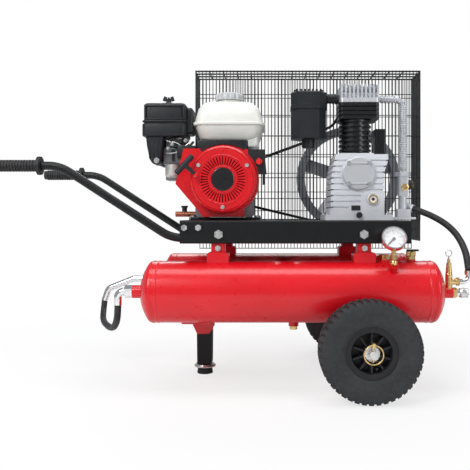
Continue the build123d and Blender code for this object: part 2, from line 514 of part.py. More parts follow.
def build_pump():
    case_top = 619
    side_view = outline((279, case_top), (422, case_top), (422, 604), (411, 570), (411, 454), (264, 454), (267, 560))
    core_view = outline((285, case_top + 1), (416, case_top + 1), (416, 604), (405, 570), (405, 453), (271, 453),
                        (274, 560))
    case = upright(side_view, PUMP_FRONT_Y, PUMP_BACK_Y)
    core = upright(core_view, PUMP_FRONT_Y + 4, PUMP_BACK_Y - 4)
    core += rod((PUMP_X, PUMP_FRONT_Y, PUMP_Z), (PUMP_X, PUMP_BACK_Y, PUMP_Z), 49)
    core += block(346, 420, PUMP_FRONT_Y, PUMP_BACK_Y, 440, 518) + block(314, 352, PUMP_FRONT_Y, 0, 440, 484)
    for z in range(472, case_top - 8, 16):
        case -= block(250, 440, PUMP_FRONT_Y - 1, PUMP_BACK_Y + 1, z, z + 4) - core
    case += block(250, 435, PUMP_FRONT_Y, PUMP_BACK_Y + 10, RAIL_TOP, 454)
    case -= rod((PUMP_X, PUMP_FRONT_Y + 12, PUMP_Z), (PUMP_X, PUMP_BACK_Y - 12, PUMP_Z), 44)
    case -= rod((PUMP_X, PUMP_FRONT_Y + 1, PUMP_Z), (PUMP_X, PUMP_BACK_Y + 1, PUMP_Z), SHAFT_R + SHAFT_GAP)
    case -= rod((PUMP_X, PUMP_MID_Y, 600), (PUMP_X, PUMP_MID_Y, 630), CYLINDER_BORE)
    cover = turned([(0, 0), (0, 46), (6, 46), (9, 42), (9, 0)], (PUMP_X, PUMP_FRONT_Y, PUMP_Z), (0, -1, 0))
    neck = block(PUMP_X - 46, PUMP_X + 46, PUMP_MID_Y - 50, PUMP_MID_Y + 50, 619, 625)
    neck -= rod((PUMP_X, PUMP_MID_Y, 600), (PUMP_X, PUMP_MID_Y, 640), CYLINDER_BORE)
    drain_pad = block(321, 345, PUMP_FRONT_Y - 3, PUMP_FRONT_Y, 466, 479)
    drain_knob = rod((342, PUMP_FRONT_Y - 8, 453), (342, PUMP_FRONT_Y, 453), 8)
    bracket = block(435, 515, -20, 40, RAIL_TOP + 2, RAIL_TOP + 8) + block(435, 460, -20, 40, RAIL_TOP, RAIL_TOP + 8)
    save("pump_crankcase", case + neck, cover, drain_pad, drain_knob, bracket)

    profile = [(0, CYLINDER_BORE), (0, 44)]
    for index in range(7):
        at = 4 + 13.5 * index
        profile += [(at, 38), (at + 4, 38), (at + 4, CYLINDER_R), (at + 9, CYLINDER_R), (at + 9, 38)]
    profile += [(96, 38), (96, CYLINDER_BORE)]
    barrel = turned(profile, (PUMP_X, PUMP_MID_Y, 625), (0, 0, 1))
    valve_block = block(292, 403, PUMP_MID_Y - 50, PUMP_MID_Y + 50, 721, 767, 10, Axis.Z)
    grooves = [block(280, 415, PUMP_MID_Y - 60, PUMP_MID_Y + 60, z, z + 4) for z in (729, 741, 753)]
    core = block(299, 396, PUMP_MID_Y - 43, PUMP_MID_Y + 43, 721, 767)
    for groove in grooves:
        valve_block -= groove - core
    breather = block(400, 428, PUMP_MID_Y, PUMP_MID_Y + 50, case_top, 699, 3)
    for x in (405, 411, 417, 423):
        breather -= block(x, x + 2.5, PUMP_MID_Y - 1, PUMP_MID_Y + 2, 630, 694)
    breather -= block(422, 430, PUMP_MID_Y - 1, PUMP_MID_Y + 51, case_top - 1, 625)
    save("pump_cylinder", barrel, valve_block, breather)

    head = block(295, 403, PUMP_MID_Y - 48, PUMP_MID_Y + 48, 767, 779, 8, Axis.Z)
    fins = [block(297 + 11.2 * i, 301.5 + 11.2 * i, PUMP_MID_Y - 46, PUMP_MID_Y + 46, 779, 818) for i in range(10)]
    head = head.fuse(block(300, 398, PUMP_MID_Y - 36, PUMP_MID_Y + 36, 779, 796), *fins)
    save("pump_head", head)

    filter_box = eight_sided(160, 257, -62, 22, 667, 807, 18)
    band = eight_sided(157, 260, -65, 25, 752, 764, 19)
    spigot = rod((208, -20, 644), (208, -20, 680), 18)
    pipe = rod((240, -20, 783), (295, -20, 783), 12)
    pipe += rod((284, -20, 783), (289, -20, 783), 15)
    save("intake_filter", filter_box.fuse(band, spigot, pipe))

    tube_x, tube_y = 481, -5
    elbow = hexagon((403, -5, 785), (412, -5, 785), 24)
    cooling = swept_tube([(412, -5, 785), (tube_x, tube_y, 785), (tube_x, tube_y, 576)], 22, 7)
    fins = [rod((tube_x, tube_y, z), (tube_x, tube_y, z + 1.5), 11.5) for z in range(584, 756, 6)]
    flange = hexagon((tube_x, tube_y, 564), (tube_x, tube_y, 576), 40)
    save("cooling_tube", elbow, cooling.fuse(*fins), flange)

    body = block(tube_x - 14, tube_x + 14, tube_y - 14, tube_y + 14, 508, 564, 5, Axis.Z)
    body += block(tube_x - 20, tube_x + 20, tube_y - 16, tube_y + 16, RAIL_TOP + 8, 470, 4, Axis.Z)
    body += rod((tube_x, tube_y, 470), (tube_x, tube_y, 508), 10)
    body += rod((tube_x, tube_y - 14, 532), (tube_x, tube_y - 24, 532), 10)
    knob = rod((tube_x + 14, tube_y, 540), (tube_x + 26, tube_y, 540), 14)
    direction = (Vector(545, 2, 460) - Vector(516, 20, 472)).normalized()
    start = Vector(516, 20, 472)
    union = rod(tuple(start - direction * 24), tuple(start), 11)
    union -= block(tube_x - 20, tube_x + 20, tube_y - 16, tube_y + 16, RAIL_TOP, 475)
    link = rod((tube_x, tube_y + 10, 484), tuple(start - direction * 22), 8)
    save("unloader_valve", body + union + link, knob)


def build_drive():
    shaft_end = BELT_Y + PULLEY_WIDTH / 2 + 4
    shaft = rod((CRANK_X, ENGINE_FRONT_Y - 12, CRANK_Z), (CRANK_X, shaft_end, CRANK_Z), SHAFT_R)
    pulley = grooved_wheel((CRANK_X, BELT_Y, CRANK_Z), PULLEY_R, PULLEY_WIDTH, SHAFT_R)
    fan_y = ENGINE_FRONT_Y - 12
    fan = rod((CRANK_X, fan_y - 6, CRANK_Z), (CRANK_X, fan_y, CRANK_Z), 76)
    blades = []
    for index in range(16):
        blade = Pos(60, 0, -14) * Rot(0, 0, 25) * Box(28, 2.5, 18)
        blades.append(Plane(origin=(CRANK_X, fan_y, CRANK_Z), z_dir=(0, 1, 0)).location * Rot(0, 0, 22.5 * index)
                      * blade)
    save("crankshaft", shaft, pulley)
    save("cooling_fan", fan.fuse(*blades))

    wheel_part = grooved_wheel((PUMP_X, BELT_Y, PUMP_Z), FLYWHEEL_R, FLYWHEEL_WIDTH, SHAFT_R)
    rim_space = turned([(-30, 40), (-30, FLYWHEEL_R - 24), (30, FLYWHEEL_R - 24), (30, 40)],
                       (PUMP_X, BELT_Y, PUMP_Z), (0, 1, 0))
    hub = rod((PUMP_X, BELT_Y - 22, PUMP_Z), (PUMP_X, BELT_Y + 18, PUMP_Z), 30, SHAFT_R)
    spokes = []
    for index in range(5):
        spoke = Pos(84, 0, 0) * Rot(20, 0, 0) * Box(114, 40, 9)
        spokes.append(Plane(origin=(PUMP_X, BELT_Y, PUMP_Z), z_dir=(0, 1, 0)).location * Rot(0, 0, 72 * index) * spoke)
    wheel_part = (wheel_part - rim_space).fuse(hub, *spokes)
    wheel_part -= rod((PUMP_X, BELT_Y - 40, PUMP_Z), (PUMP_X, BELT_Y + 40, PUMP_Z), SHAFT_R)
    pump_shaft = rod((PUMP_X, PUMP_FRONT_Y + 4, PUMP_Z), (PUMP_X, BELT_Y + 21, PUMP_Z), SHAFT_R)
    save("pump_flywheel", wheel_part, pump_shaft)

    belt_r1 = PULLEY_R - GROOVE_DEPTH + 0.6
    belt_r2 = FLYWHEEL_R - GROOVE_DEPTH + 0.6
    belt_loop = belt_outline(belt_r1 + BELT_THICKNESS, belt_r2 + BELT_THICKNESS) - belt_outline(belt_r1, belt_r2)
    save("drive_belt", upright(belt_loop, BELT_Y - BELT_WIDTH / 2, BELT_Y + BELT_WIDTH / 2))


def grooved_wheel(centre, radius, width, bore):
    half, groove = width / 2, BELT_WIDTH / 2 + 0.4
    return turned([(-half, bore), (-half, radius), (-groove, radius), (-groove, radius - GROOVE_DEPTH),
                   (groove, radius - GROOVE_DEPTH), (groove, radius), (half, radius), (half, bore)],
                  centre, (0, 1, 0))


def belt_outline(small_r, large_r):
    """The closed loop round both pulleys: two circles and their common tangents."""
    dx, dz = PUMP_X - CRANK_X, PUMP_Z - CRANK_Z
    distance, heading = math.hypot(dx, dz), math.atan2(dz, dx)
    lean = math.acos((small_r - large_r) / distance)
    corners = []
    for centre_x, centre_z, radius, sign in ((CRANK_X, CRANK_Z, small_r, 1), (PUMP_X, PUMP_Z, large_r, 1),
                                             (PUMP_X, PUMP_Z, large_r, -1), (CRANK_X, CRANK_Z, small_r, -1)):
        angle = heading + sign * lean
        corners.append((centre_x + radius * math.cos(angle), centre_z + radius * math.sin(angle)))
    return (make_face(Polyline(*corners, close=True)) + Pos(CRANK_X, CRANK_Z) * Circle(small_r)
            + Pos(PUMP_X, PUMP_Z) * Circle(large_r))


def mesh_panel(x0, x1, z0, z1, y, openings=()):
    """Wire mesh as one sheet with rectangular windows; openings are (x, z, radius) of shaft holes."""
    columns = round((x1 - x0) / GUARD_PITCH_X)
    rows = round((z1 - z0) / GUARD_PITCH_Z)
    pitch_x, pitch_z = (x1 - x0) / columns, (z1 - z0) / rows
    windows = []
    for column in range(columns):
        for row in range(rows):
            left, right = x0 + column * pitch_x + 1.25, x0 + (column + 1) * pitch_x - 1.25
            low, high = z0 + row * pitch_z + 1.25, z0 + (row + 1) * pitch_z - 1.25
            near_hole = any(left - r - 3 < hx < right + r + 3 and low - r - 3 < hz < high + r + 3
                            for hx, hz, r in openings)
            if not near_hole:
                windows.append(Wire.make_polygon([(left, 0, low), (right, 0, low), (right, 0, high),
                                                  (left, 0, high)], close=True))
    for hx, hz, r in openings:
        windows.append(Wire.make_circle(r, Plane(origin=(hx, 0, hz), z_dir=(0, -1, 0))))
    frame_wire = Wire.make_polygon([(x0, 0, z0), (x1, 0, z0), (x1, 0, z1), (x0, 0, z1)], close=True)
    panel = Solid.extrude(Face(frame_wire, windows), Vector(0, GUARD_WIRE, 0))
    return Pos(0, y - GUARD_WIRE / 2, 0) * panel


def build_guard():
    shaft_holes = ((CRANK_X, CRANK_Z, SHAFT_R + 8), (PUMP_X, PUMP_Z, SHAFT_R + 8))
    save("guard_near_mesh", mesh_panel(GUARD_X0, GUARD_X1, RAIL_TOP + 0.2, GUARD_TOP, GUARD_NEAR_Y, shaft_holes))
    save("guard_far_mesh", mesh_panel(GUARD_X0, GUARD_X1, GUARD_FAR_BOTTOM, GUARD_TOP, GUARD_FAR_Y))
    y0, y1 = GUARD_NEAR_Y + GUARD_WIRE / 2, GUARD_FAR_Y - GUARD_WIRE / 2
    left_panel = block(GUARD_X0, GUARD_X0 + 1.5, y0, y1, RAIL_TOP, GUARD_TOP)
    right_panel = block(GUARD_X1 - 1.5, GUARD_X1, y0, y1, 375, GUARD_TOP)
    top_strips = [block(GUARD_X0 + 1.5, GUARD_X1 - 1.5, y, y + 4, GUARD_TOP - 4, GUARD_TOP)
                  for y in (y0, y0 + 36, y0 + 72, y1 - 4)]
    pitch = 42.0
    ties = [block(GUARD_X0 + pitch * i - 1.5, GUARD_X0 + pitch * i + 1.5, y0, y1, GUARD_TOP - 4, GUARD_TOP)
            for i in range(1, 16)]
    spacers = [rod((x, RAIL_OUTER_Y, 409), (x, GUARD_FAR_Y - GUARD_WIRE / 2, 409), 7) for x in (-60, 160, 420)]
    panels = left_panel.fuse(right_panel, *top_strips, *ties)
    save("guard_panels", panels, *spacers)


# ---------------------------------------------------------------- engine
def build_engine():
    case = block(-104, 52, ENGINE_FRONT_Y, ENGINE_BACK_Y, 447, 622, 10, Axis.Y)
    feet = [block(x0, x1, -82, 78, RAIL_TOP, 447) for x0, x1 in ((-124, -84), (33, 74))]
    case = case.fuse(*feet)
    case -= rod((CRANK_X, ENGINE_FRONT_Y + 12, CRANK_Z), (CRANK_X, ENGINE_BACK_Y - 12, CRANK_Z), 58)
    case -= rod((CRANK_X, ENGINE_FRONT_Y - 1, CRANK_Z), (CRANK_X, ENGINE_BACK_Y + 1, CRANK_Z), SHAFT_R + SHAFT_GAP)
    oil_pipe = rod((-165, -50, 455.5), (-104, -50, 455.5), 7.5)
    oil_cap = rod((-140, -50, 456), (-140, -50, 479), 7) + rod((-140, -50, 474), (-140, -50, 479), 9.5)
    save("engine_crankcase", case)
    save("oil_filler", oil_pipe + oil_cap)

    cylinder_core = block(-186, -104, 2, 62, 560, 616)
    fins = [block(x, x + 3, -6, 70, 552, 624) for x in range(-160, -110, 8)]
    head = block(-200, -166, -4, 68, 554, 622, 6, Axis.X)
    save("engine_cylinder", cylinder_core.fuse(head, *fins))
    silencer = block(-238, -150, 78, 132, 600, 700, 12, Axis.Y)
    guard_slots = [block(-226, -162, 130, 140, z, z + 5) for z in range(614, 690, 12)]
    for slot in guard_slots:
        silencer -= slot
    pipe = rod((-192, 68, 610), (-192, 78, 610), 12)
    outlet = rod((-262, 105, 640), (-238, 105, 640), 9, 7)
    save("muffler", silencer + pipe + outlet)

    shroud_sketch = Pos(CRANK_X, CRANK_Z) * Circle(SHROUD_R) + make_face(Polyline(
        (-130, 628), (23, 630), (40, 612), (29, 448), (-79, 448), (-99, 474), (-151, 535), close=True))
    inner_sketch = Pos(CRANK_X, CRANK_Z) * Circle(SHROUD_R - 3) + make_face(Polyline(
        (-127, 625), (22, 627), (37, 611), (26, 451), (-77.5, 451), (-97, 476), (-147, 535), close=True))
    shroud = upright(shroud_sketch, SHROUD_FRONT_Y, ENGINE_FRONT_Y)
    shroud -= upright(inner_sketch, SHROUD_FRONT_Y + 3, ENGINE_FRONT_Y + 1)
    shroud -= rod((CRANK_X, SHROUD_FRONT_Y - 5, CRANK_Z), (CRANK_X, SHROUD_FRONT_Y + 5, CRANK_Z), RECOIL_R - 6)

    depth = RECOIL_DEPTH
    housing = turned([(0, RECOIL_R - 4), (0, RECOIL_R), (depth - 8, RECOIL_R - 3), (depth, RECOIL_R - 12),
                      (depth, 30.3), (depth - 3, 30.3), (depth - 3, RECOIL_R - 14), (depth - 9, RECOIL_R - 6)],
                     (CRANK_X, SHROUD_FRONT_Y, CRANK_Z), (0, -1, 0))
    face_y = SHROUD_FRONT_Y - depth
    slots = []
    for index in range(44):
        slot = Pos(48.5, 0, 0) * Box(21, 2.6, 12)
        slots.append(Plane(origin=(CRANK_X, face_y, CRANK_Z), z_dir=(0, -1, 0)).location
                     * Rot(0, 0, 360 / 44 * index) * slot)
    housing -= Compound([solid for slot in slots for solid in slot.solids()])
    disc = turned([(0, 0), (0, 30), (4, 30), (5, 28), (5, 0)], (CRANK_X, face_y + 3, CRANK_Z), (0, -1, 0))
    pull = Vector(-0.738, 0, 0.675)
    bar = Vector(-120.5, face_y - 14, 581.5)
    eye = bar - pull * (36 + 8)
    guide = rod(tuple(eye), tuple(eye + pull * 7.5), 7, 2.5)
    guide += block(eye.X - 5, eye.X + 9, face_y - 8, face_y, eye.Z - 9, eye.Z + 5)
    save("recoil_housing", housing, disc, guide - rod(tuple(eye - pull * 9), tuple(eye + pull * 9), 2.5))

    across = Vector(0.675, 0, 0.738)
    t_bar = rod(tuple(bar - across * 32), tuple(bar + across * 32), 7.5)
    t_bar = fillet(t_bar.edges(), 5)
    t_stem = turned([(4, 0), (4, 7), (20, 5.5), (36, 4.5), (36, 0)], tuple(bar), tuple(pull * -1))
    save("starter_handle", t_bar + t_stem)
    rope_start = bar - pull * 36
    save("starter_rope", rod(tuple(rope_start - pull * 7.8), tuple(rope_start), 2))

    fuel_tank = block(-114, 86, -112, 70, FUEL_BOTTOM + 4, FUEL_TOP - 6, 22)
    fuel_tank = fillet(fuel_tank.edges().group_by(Axis.Z)[-1], 12)
    fuel_tank = fillet(fuel_tank.edges().group_by(Axis.Z)[0], 6)
    fuel_tank += block(29, 77, -100, 58, 634, FUEL_BOTTOM + 12, 10)
    seam = block(-116.5, 89, -115, 73, 708, 713, 18, Axis.Z)
    hollow = block(-108, 80, -106, 64, FUEL_BOTTOM + 10, 764, 12, Axis.Z)
    neck = rod((-16, -20, 772), (-16, -20, 776), 32)
    stays = [block(x, x + 22, y, y + 4, 622, FUEL_BOTTOM + 4) for x in (-80, 0) for y in (-90, 50)]
    save("fuel_tank", fuel_tank + seam - hollow + neck, *stays)
    cap_profile = [(0, 0), (0, 39), (4, 41), (12, 41), (16, 38), (20, 36), (22, 30), (22, 0)]
    cap = turned(cap_profile, (-16, -20, 776 + RUN_GAP), (0, 0, 1))
    notches = []
    for index in range(12):
        notches.append(Pos(-16, -20, 792) * Rot(0, 0, 30 * index) * Pos(43, 0, 0) * Cylinder(4, 30))
    for notch in notches:
        cap -= notch
    save("fuel_cap", cap)

    lid = block(-250, -134, -122, -8, 672, 762, 14, Axis.Z)
    lid = fillet(lid.edges().group_by(Axis.Z)[-1], 8)
    skirt = block(-246, -138, -118, -12, 662, 672, 12, Axis.Z)
    lower = block(-242, -194, -112, -40, 596, 662, 10, Axis.Z)
    side = block(-134, -117, -96, -34, 676, 744, 4, Axis.X)
    stud = rod((-182, -65, 762), (-182, -65, 780), 3)
    save("air_cleaner", lid + skirt + side + lower + stud)
    nut_z = 766
    wing = rod((-182, -65, nut_z), (-182, -65, nut_z + 9), 7, 3 + SHAFT_GAP)
    wings = [Pos(-182, -65, nut_z + 9) * Rot(0, 0, 180 * i) * Pos(10.5, 0, 0) * Rot(0, -20, 0) * Box(9, 2.5, 13)
             for i in range(2)]
    save("wing_nut", wing.fuse(*wings))

    body = block(-192, -146, -88, -44, 592, 640, 6, Axis.X)
    bowl = turned([(0, 0), (0, 20), (4, 22), (30, 22), (34, 18), (34, 0)], (-169, -66, 592), (0, 0, -1))
    throat = rod((-169, -44, 616), (-169, -7, 616), 14)
    riser = block(-186, -150, -86, -46, 640, 662)
    arm = block(-194, -192, -80, -52, 610, 640)
    save("carburettor", body + bowl + throat + riser + arm)

    choke = rod((-166, -88 - RUN_GAP, 628), (-166, -93, 628), 5) + block(-169, -163, -93, -90.5, 600, 628)
    save("choke_lever", choke)
    throttle = rod((82, SHROUD_FRONT_Y - 2 - RUN_GAP, 575), (82, SHROUD_FRONT_Y - 8, 575), 6)
    throttle += block(79, 85, SHROUD_FRONT_Y - 8, SHROUD_FRONT_Y - 5, 532, 575)
    save("throttle_lever", throttle)
    switch_base = rod((70, SHROUD_FRONT_Y - 2, 593), (70, SHROUD_FRONT_Y - 6, 593), 10)
    switch = rod((70, SHROUD_FRONT_Y - 6 - RUN_GAP, 593), (70, SHROUD_FRONT_Y - 16, 593), 8)
    switch += block(67.5, 72.5, SHROUD_FRONT_Y - 21, SHROUD_FRONT_Y - 16, 585, 601)
    save("engine_switch", switch)
    plate_view = outline((30, 626), (84, 626), (90, 560), (48, 560)) - Pos(CRANK_X, CRANK_Z) * Circle(RECOIL_R + 1)
    control_plate = upright(plate_view, SHROUD_FRONT_Y - 2, SHROUD_FRONT_Y) + switch_base
    save("fan_shroud", shroud, control_plate)


def build_fasteners():
    pieces = frame_bolts()
    for side in (-1, 1):
        y0, y1 = sorted((side * (WHEEL_MID_Y + 29.5), side * (WHEEL_MID_Y + 33)))
        pieces.append(rod((WHEEL_X, y0, AXLE_Z), (WHEEL_X, y1, AXLE_Z), 18, AXLE_R + SHAFT_GAP))
        y0, y1 = sorted((side * 219, side * (WHEEL_MID_Y - 32.5)))
        pieces.append(rod((WHEEL_X, y0, AXLE_Z), (WHEEL_X, y1, AXLE_Z), 15, AXLE_R + SHAFT_GAP))
    for x in (-114, 64):
        for y in (-70, 60):
            pieces.append(bolt((x, y, 447), (0, 0, 1), 7, 5, 14, 4))
    for x in (256, 427):
        for y in (-80, 50):
            pieces.append(bolt((x, y, 454), (0, 0, 1), 7, 6, 21, 4))
    pieces.append(turned([(0, 12), (0, 30), (3, 31), (8, 26), (10.8, 14), (10.8, 0), (6, 0), (5, 12)],
                         (LEG_X, 0, FOOT_HEIGHT), (0, 0, 1)))
    for angle in (30, 150, 270):
        x = CRANK_X + 72 * math.cos(math.radians(angle))
        z = CRANK_Z + 72 * math.sin(math.radians(angle))
        pieces.append(bolt((x, SHROUD_FRONT_Y - RECOIL_DEPTH, z), (0, -1, 0), 5.5, 5, 6, 3))
    for i in (-1, 1):
        for j in (-1, 1):
            pieces.append(bolt((PUMP_X + 28 * i, PUMP_FRONT_Y - 9, PUMP_Z + 28 * j), (0, -1, 0), 6, 4, 8, 2.9))
    save("fasteners", *pieces)
    hosts = ("side_rails", "tank_brackets", "handle_tubes", "cross_members_and_decks", "engine_crankcase",
             "pump_crankcase", "recoil_housing")
    for name in hosts:
        for x, y, z, direction, radius, length in bolt_holes:
            start = Vector(x, y, z)
            inside = start - Vector(*direction) * length
            nodes[name] -= rod(tuple(inside), tuple(start + Vector(*direction)), radius + SHAFT_GAP)


build_tanks()
build_chassis()
build_air_side()
build_pump()
build_drive()
build_guard()
build_engine()
build_fasteners()

os.makedirs("parts", exist_ok=True)
for node_name, shape in nodes.items():
    export_step(shape, f"parts/{node_name}.step")
print(len(nodes), "nodes")
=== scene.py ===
import bmesh
import bpy
import json
import math
from mathutils import Matrix, Vector


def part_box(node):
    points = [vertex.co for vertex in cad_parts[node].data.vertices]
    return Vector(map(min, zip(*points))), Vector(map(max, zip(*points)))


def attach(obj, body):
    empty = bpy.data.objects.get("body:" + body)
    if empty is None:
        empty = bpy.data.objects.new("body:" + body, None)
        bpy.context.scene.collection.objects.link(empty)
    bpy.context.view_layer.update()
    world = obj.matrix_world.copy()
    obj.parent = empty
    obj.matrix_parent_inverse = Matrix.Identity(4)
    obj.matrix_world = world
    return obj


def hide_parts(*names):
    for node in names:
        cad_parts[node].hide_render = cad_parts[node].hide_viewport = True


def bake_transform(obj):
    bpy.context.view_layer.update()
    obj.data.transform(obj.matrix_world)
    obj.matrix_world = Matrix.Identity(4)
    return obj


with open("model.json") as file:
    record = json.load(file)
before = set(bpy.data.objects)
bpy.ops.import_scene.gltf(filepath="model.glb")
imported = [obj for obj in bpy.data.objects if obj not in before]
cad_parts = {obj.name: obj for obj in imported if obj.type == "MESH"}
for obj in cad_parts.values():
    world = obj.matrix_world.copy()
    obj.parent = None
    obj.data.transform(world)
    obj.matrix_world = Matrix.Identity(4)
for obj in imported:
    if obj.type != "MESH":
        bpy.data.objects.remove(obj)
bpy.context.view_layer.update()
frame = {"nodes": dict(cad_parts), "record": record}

MM = 0.001
TO_FRONT = (0, -1, 0)
HOSE_RADIUS = 0.009


def mm(*values):
    """A point given in millimetres, in metres."""
    return Vector(value * MM for value in values)


def on_circle(radius, angle, z=0.0):
    """A point of a circle round the Z axis."""
    return Vector((radius * math.cos(angle), radius * math.sin(angle), z))


def middle_of(node):
    low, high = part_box(node)
    return (low + high) / 2


CRANK = middle_of("cooling_fan")
WHEEL = middle_of("right_wheel_rim")


# ---------------------------------------------------------------- camera, floor and light
def set_camera():
    camera = bpy.data.objects.new("camera", bpy.data.cameras.new("camera"))
    bpy.context.scene.collection.objects.link(camera)
    camera.location = (0.0935, -1.8, 0.4475)
    camera.rotation_euler = (math.radians(90), 0, 0)
    camera.data.sensor_width = 36
    camera.data.lens = 47.87
    camera.data.shift_x = -0.0702
    camera.data.shift_y = -0.0383
    bpy.context.scene.camera = camera


def area_light(name, place, target, size, power):
    light = bpy.data.objects.new(name, bpy.data.lights.new(name, "AREA"))
    light.data.shape = "RECTANGLE"
    light.data.size, light.data.size_y = size
    light.data.energy = power
    light.location = place
    light.rotation_euler = (Vector(target) - Vector(place)).to_track_quat("-Z", "Y").to_euler()
    bpy.context.scene.collection.objects.link(light)


def set_studio():
    scene = bpy.context.scene
    scene.view_settings.view_transform = "Standard"
    area_light("key", (-1.5, -2.3, 2.3), (0, 0, 0.4), (1.3, 1.3), 58)
    area_light("fill", (2.4, -2.0, 1.2), (0, 0, 0.4), (1.0, 1.8), 18)
    area_light("back", (0.3, 2.4, 2.4), (0, 0, 0.4), (2.4, 1.2), 40)
    area_light("top", (0.0, -0.4, 2.6), (0, -0.1, 0.3), (2.4, 0.9), 30)
    world = bpy.data.worlds.new("studio")
    scene.world = world
    world.use_nodes = True
    world.node_tree.nodes.clear()
    sky = Nodes(world.node_tree)
    soft = sky.node("ShaderNodeBackground", inputs={"Color": (0.9, 0.94, 1.0, 1), "Strength": 0.34})
    white = sky.node("ShaderNodeBackground", inputs={"Color": (1, 1, 1, 1)})
    seen = sky.node("ShaderNodeLightPath").out("Is Camera Ray")
    mixed = sky.node("ShaderNodeMixShader", inputs={0: seen, 1: soft, 2: white})
    sky.node("ShaderNodeOutputWorld", inputs={"Surface": mixed})

    mesh = bpy.data.meshes.new("floor")
    mesh.from_pydata([(-6, -6, 0), (6, -6, 0), (6, 6, 0), (-6, 6, 0)], [], [(0, 1, 2, 3)])
    floor = bpy.data.objects.new("floor", mesh)
    scene.collection.objects.link(floor)
    floor.data.materials.append(floor_finish())


def floor_finish():
    """Pale floor, which reads white to the camera except in the soft shadow."""
    shader = Shader("pale_floor", (0.86, 0.86, 0.86), 0.85)
    x, y, _ = shader.axes()
    far = (x * x + y * y).math("SQRT")
    seen = shader.node("ShaderNodeLightPath").out("Is Camera Ray")
    glow = shader.node("ShaderNodeEmission", inputs={"Color": (1, 1, 1, 1), "Strength": 1.0})
    share = seen * shader.ramp(far, 0.55, 1.3, 0.72, 1.0)
    lit = Value(shader, shader.principled.outputs[0])
    mixed = shader.node("ShaderNodeMixShader", inputs={0: share, 1: lit, 2: glow})
    shader.tree.links.new(mixed.socket, shader.output.inputs[0])
    return shader.material


# ---------------------------------------------------------------- shader maths
class Value:
    """A node's output socket that can be used in sums."""

    def __init__(self, shader, socket):
        self.shader, self.socket = shader, socket

    def out(self, name):
        return Value(self.shader, self.socket.node.outputs[name])

    def math(self, operation, *others):
        inputs = dict(enumerate((self, *others)))
        return self.shader.node("ShaderNodeMath", {"operation": operation}, inputs)

    def __add__(self, other):
        return self.math("ADD", other)

    def __sub__(self, other):
        return self.math("SUBTRACT", other)

    def __rsub__(self, other):
        return self.shader.node("ShaderNodeMath", {"operation": "SUBTRACT"},
                                {0: other, 1: self})

    def __mul__(self, other):
        return self.math("MULTIPLY", other)

    def __gt__(self, other):
        return self.math("GREATER_THAN", other)

    def __lt__(self, other):
        return self.math("LESS_THAN", other)

    __radd__ = __add__
    __rmul__ = __mul__


class Nodes:
    """A node tree, with the one method that adds nodes to it."""

    def __init__(self, tree):
        self.tree = tree

    def node(self, kind, settings=None, inputs=None):
        """Add a node and give its first output; values and colours go straight to its sockets."""
        node = self.tree.nodes.new(kind)
        for key, value in (settings or {}).items():
            setattr(node, key, value)
        for key, value in (inputs or {}).items():
            if isinstance(value, Value):
                self.tree.links.new(value.socket, node.inputs[key])
            else:
                node.inputs[key].default_value = value
        visible = [socket for socket in node.outputs if socket.enabled]
        return Value(self, visible[0]) if visible else None


class Shader(Nodes):
    """A material around one Principled shader."""

    def __init__(self, name, colour, roughness, metallic=0.0, coat=0.0, coat_roughness=0.1,
                 shine=0.5):
        self.material = bpy.data.materials.new(name)
        self.material.use_nodes = True
        super().__init__(self.material.node_tree)
        self.principled = self.tree.nodes["Principled BSDF"]
        self.output = self.tree.nodes["Material Output"]
        self.set("Base Color", (*colour, 1))
        self.set("Roughness", roughness)
        self.set("Metallic", metallic)
        self.set("Coat Weight", coat)
        self.set("Coat Roughness", coat_roughness)
        self.set("Specular IOR Level", shine)

    def set(self, socket, value):
        if isinstance(value, Value):
            self.tree.links.new(value.socket, self.principled.inputs[socket])
        else:
            self.principled.inputs[socket].default_value = value

    def place(self):
        return self.node("ShaderNodeTexCoord").out("Object")

    def axes(self):
        split = self.node("ShaderNodeSeparateXYZ", inputs={0: self.place()})
        return split.out("X"), split.out("Y"), split.out("Z")

    def noise(self, scale, detail=3.0):
        return self.node("ShaderNodeTexNoise", inputs={
            "Vector": self.place(), "Scale": scale, "Detail": detail, "Roughness": 0.55}).out("Fac")

    def cells(self, scale):
        return self.node("ShaderNodeTexVoronoi", inputs={
            "Vector": self.place(), "Scale": scale}).out("Distance")

    def ramp(self, value, low, high, to_low=0.0, to_high=1.0):
        return self.node("ShaderNodeMapRange", {"clamp": True},
                         {0: value, 1: low, 2: high, 3: to_low, 4: to_high})

    def mix(self, factor, first, second):
        """Blend two colours, each a triple or a link."""
        first, second = ((*colour, 1) if isinstance(colour, tuple) else colour
                         for colour in (first, second))
        return self.node("ShaderNodeMix", {"data_type": "RGBA"},
                         {0: factor, 6: first, 7: second}).out(2)

    def cover(self, mask, colour):
        """Another colour where the mask is 1, over what the shader has already."""
        under = Value(self, self.principled.inputs["Base Color"].links[0].from_socket)
        self.set("Base Color", self.mix(mask, under, colour))

    def uneven(self, scale, low, high):
        """Roughness that wanders between two values."""
        self.set("Roughness", self.ramp(self.noise(scale), 0.3, 0.7, low, high))

    def bump(self, height, strength, distance=0.001):
        self.set("Normal", self.node("ShaderNodeBump", inputs={
            "Height": height, "Strength": strength, "Distance": distance}))

    def edges(self, radius=0.0012):
        """1 on sharp edges, where a coat wears first, and 0 elsewhere."""
        rounded = self.node("ShaderNodeBevel", {"samples": 4}, {"Radius": radius})
        flat = self.node("ShaderNodeNewGeometry").out("Normal")
        facing = self.node("ShaderNodeVectorMath", {"operation": "DOT_PRODUCT"},
                           {0: rounded, 1: flat}).out("Value")
        return self.ramp(1 - facing, 0.01, 0.12)

    def around(self, centre):
        """Distance from an axis along Y."""
        x, _, z = self.axes()
        across, up = x - centre.x, z - centre.z
        return (across * across + up * up).math("SQRT")

    def dust(self):
        return self.ramp(self.noise(9.0, 5.0), 0.52, 0.75)


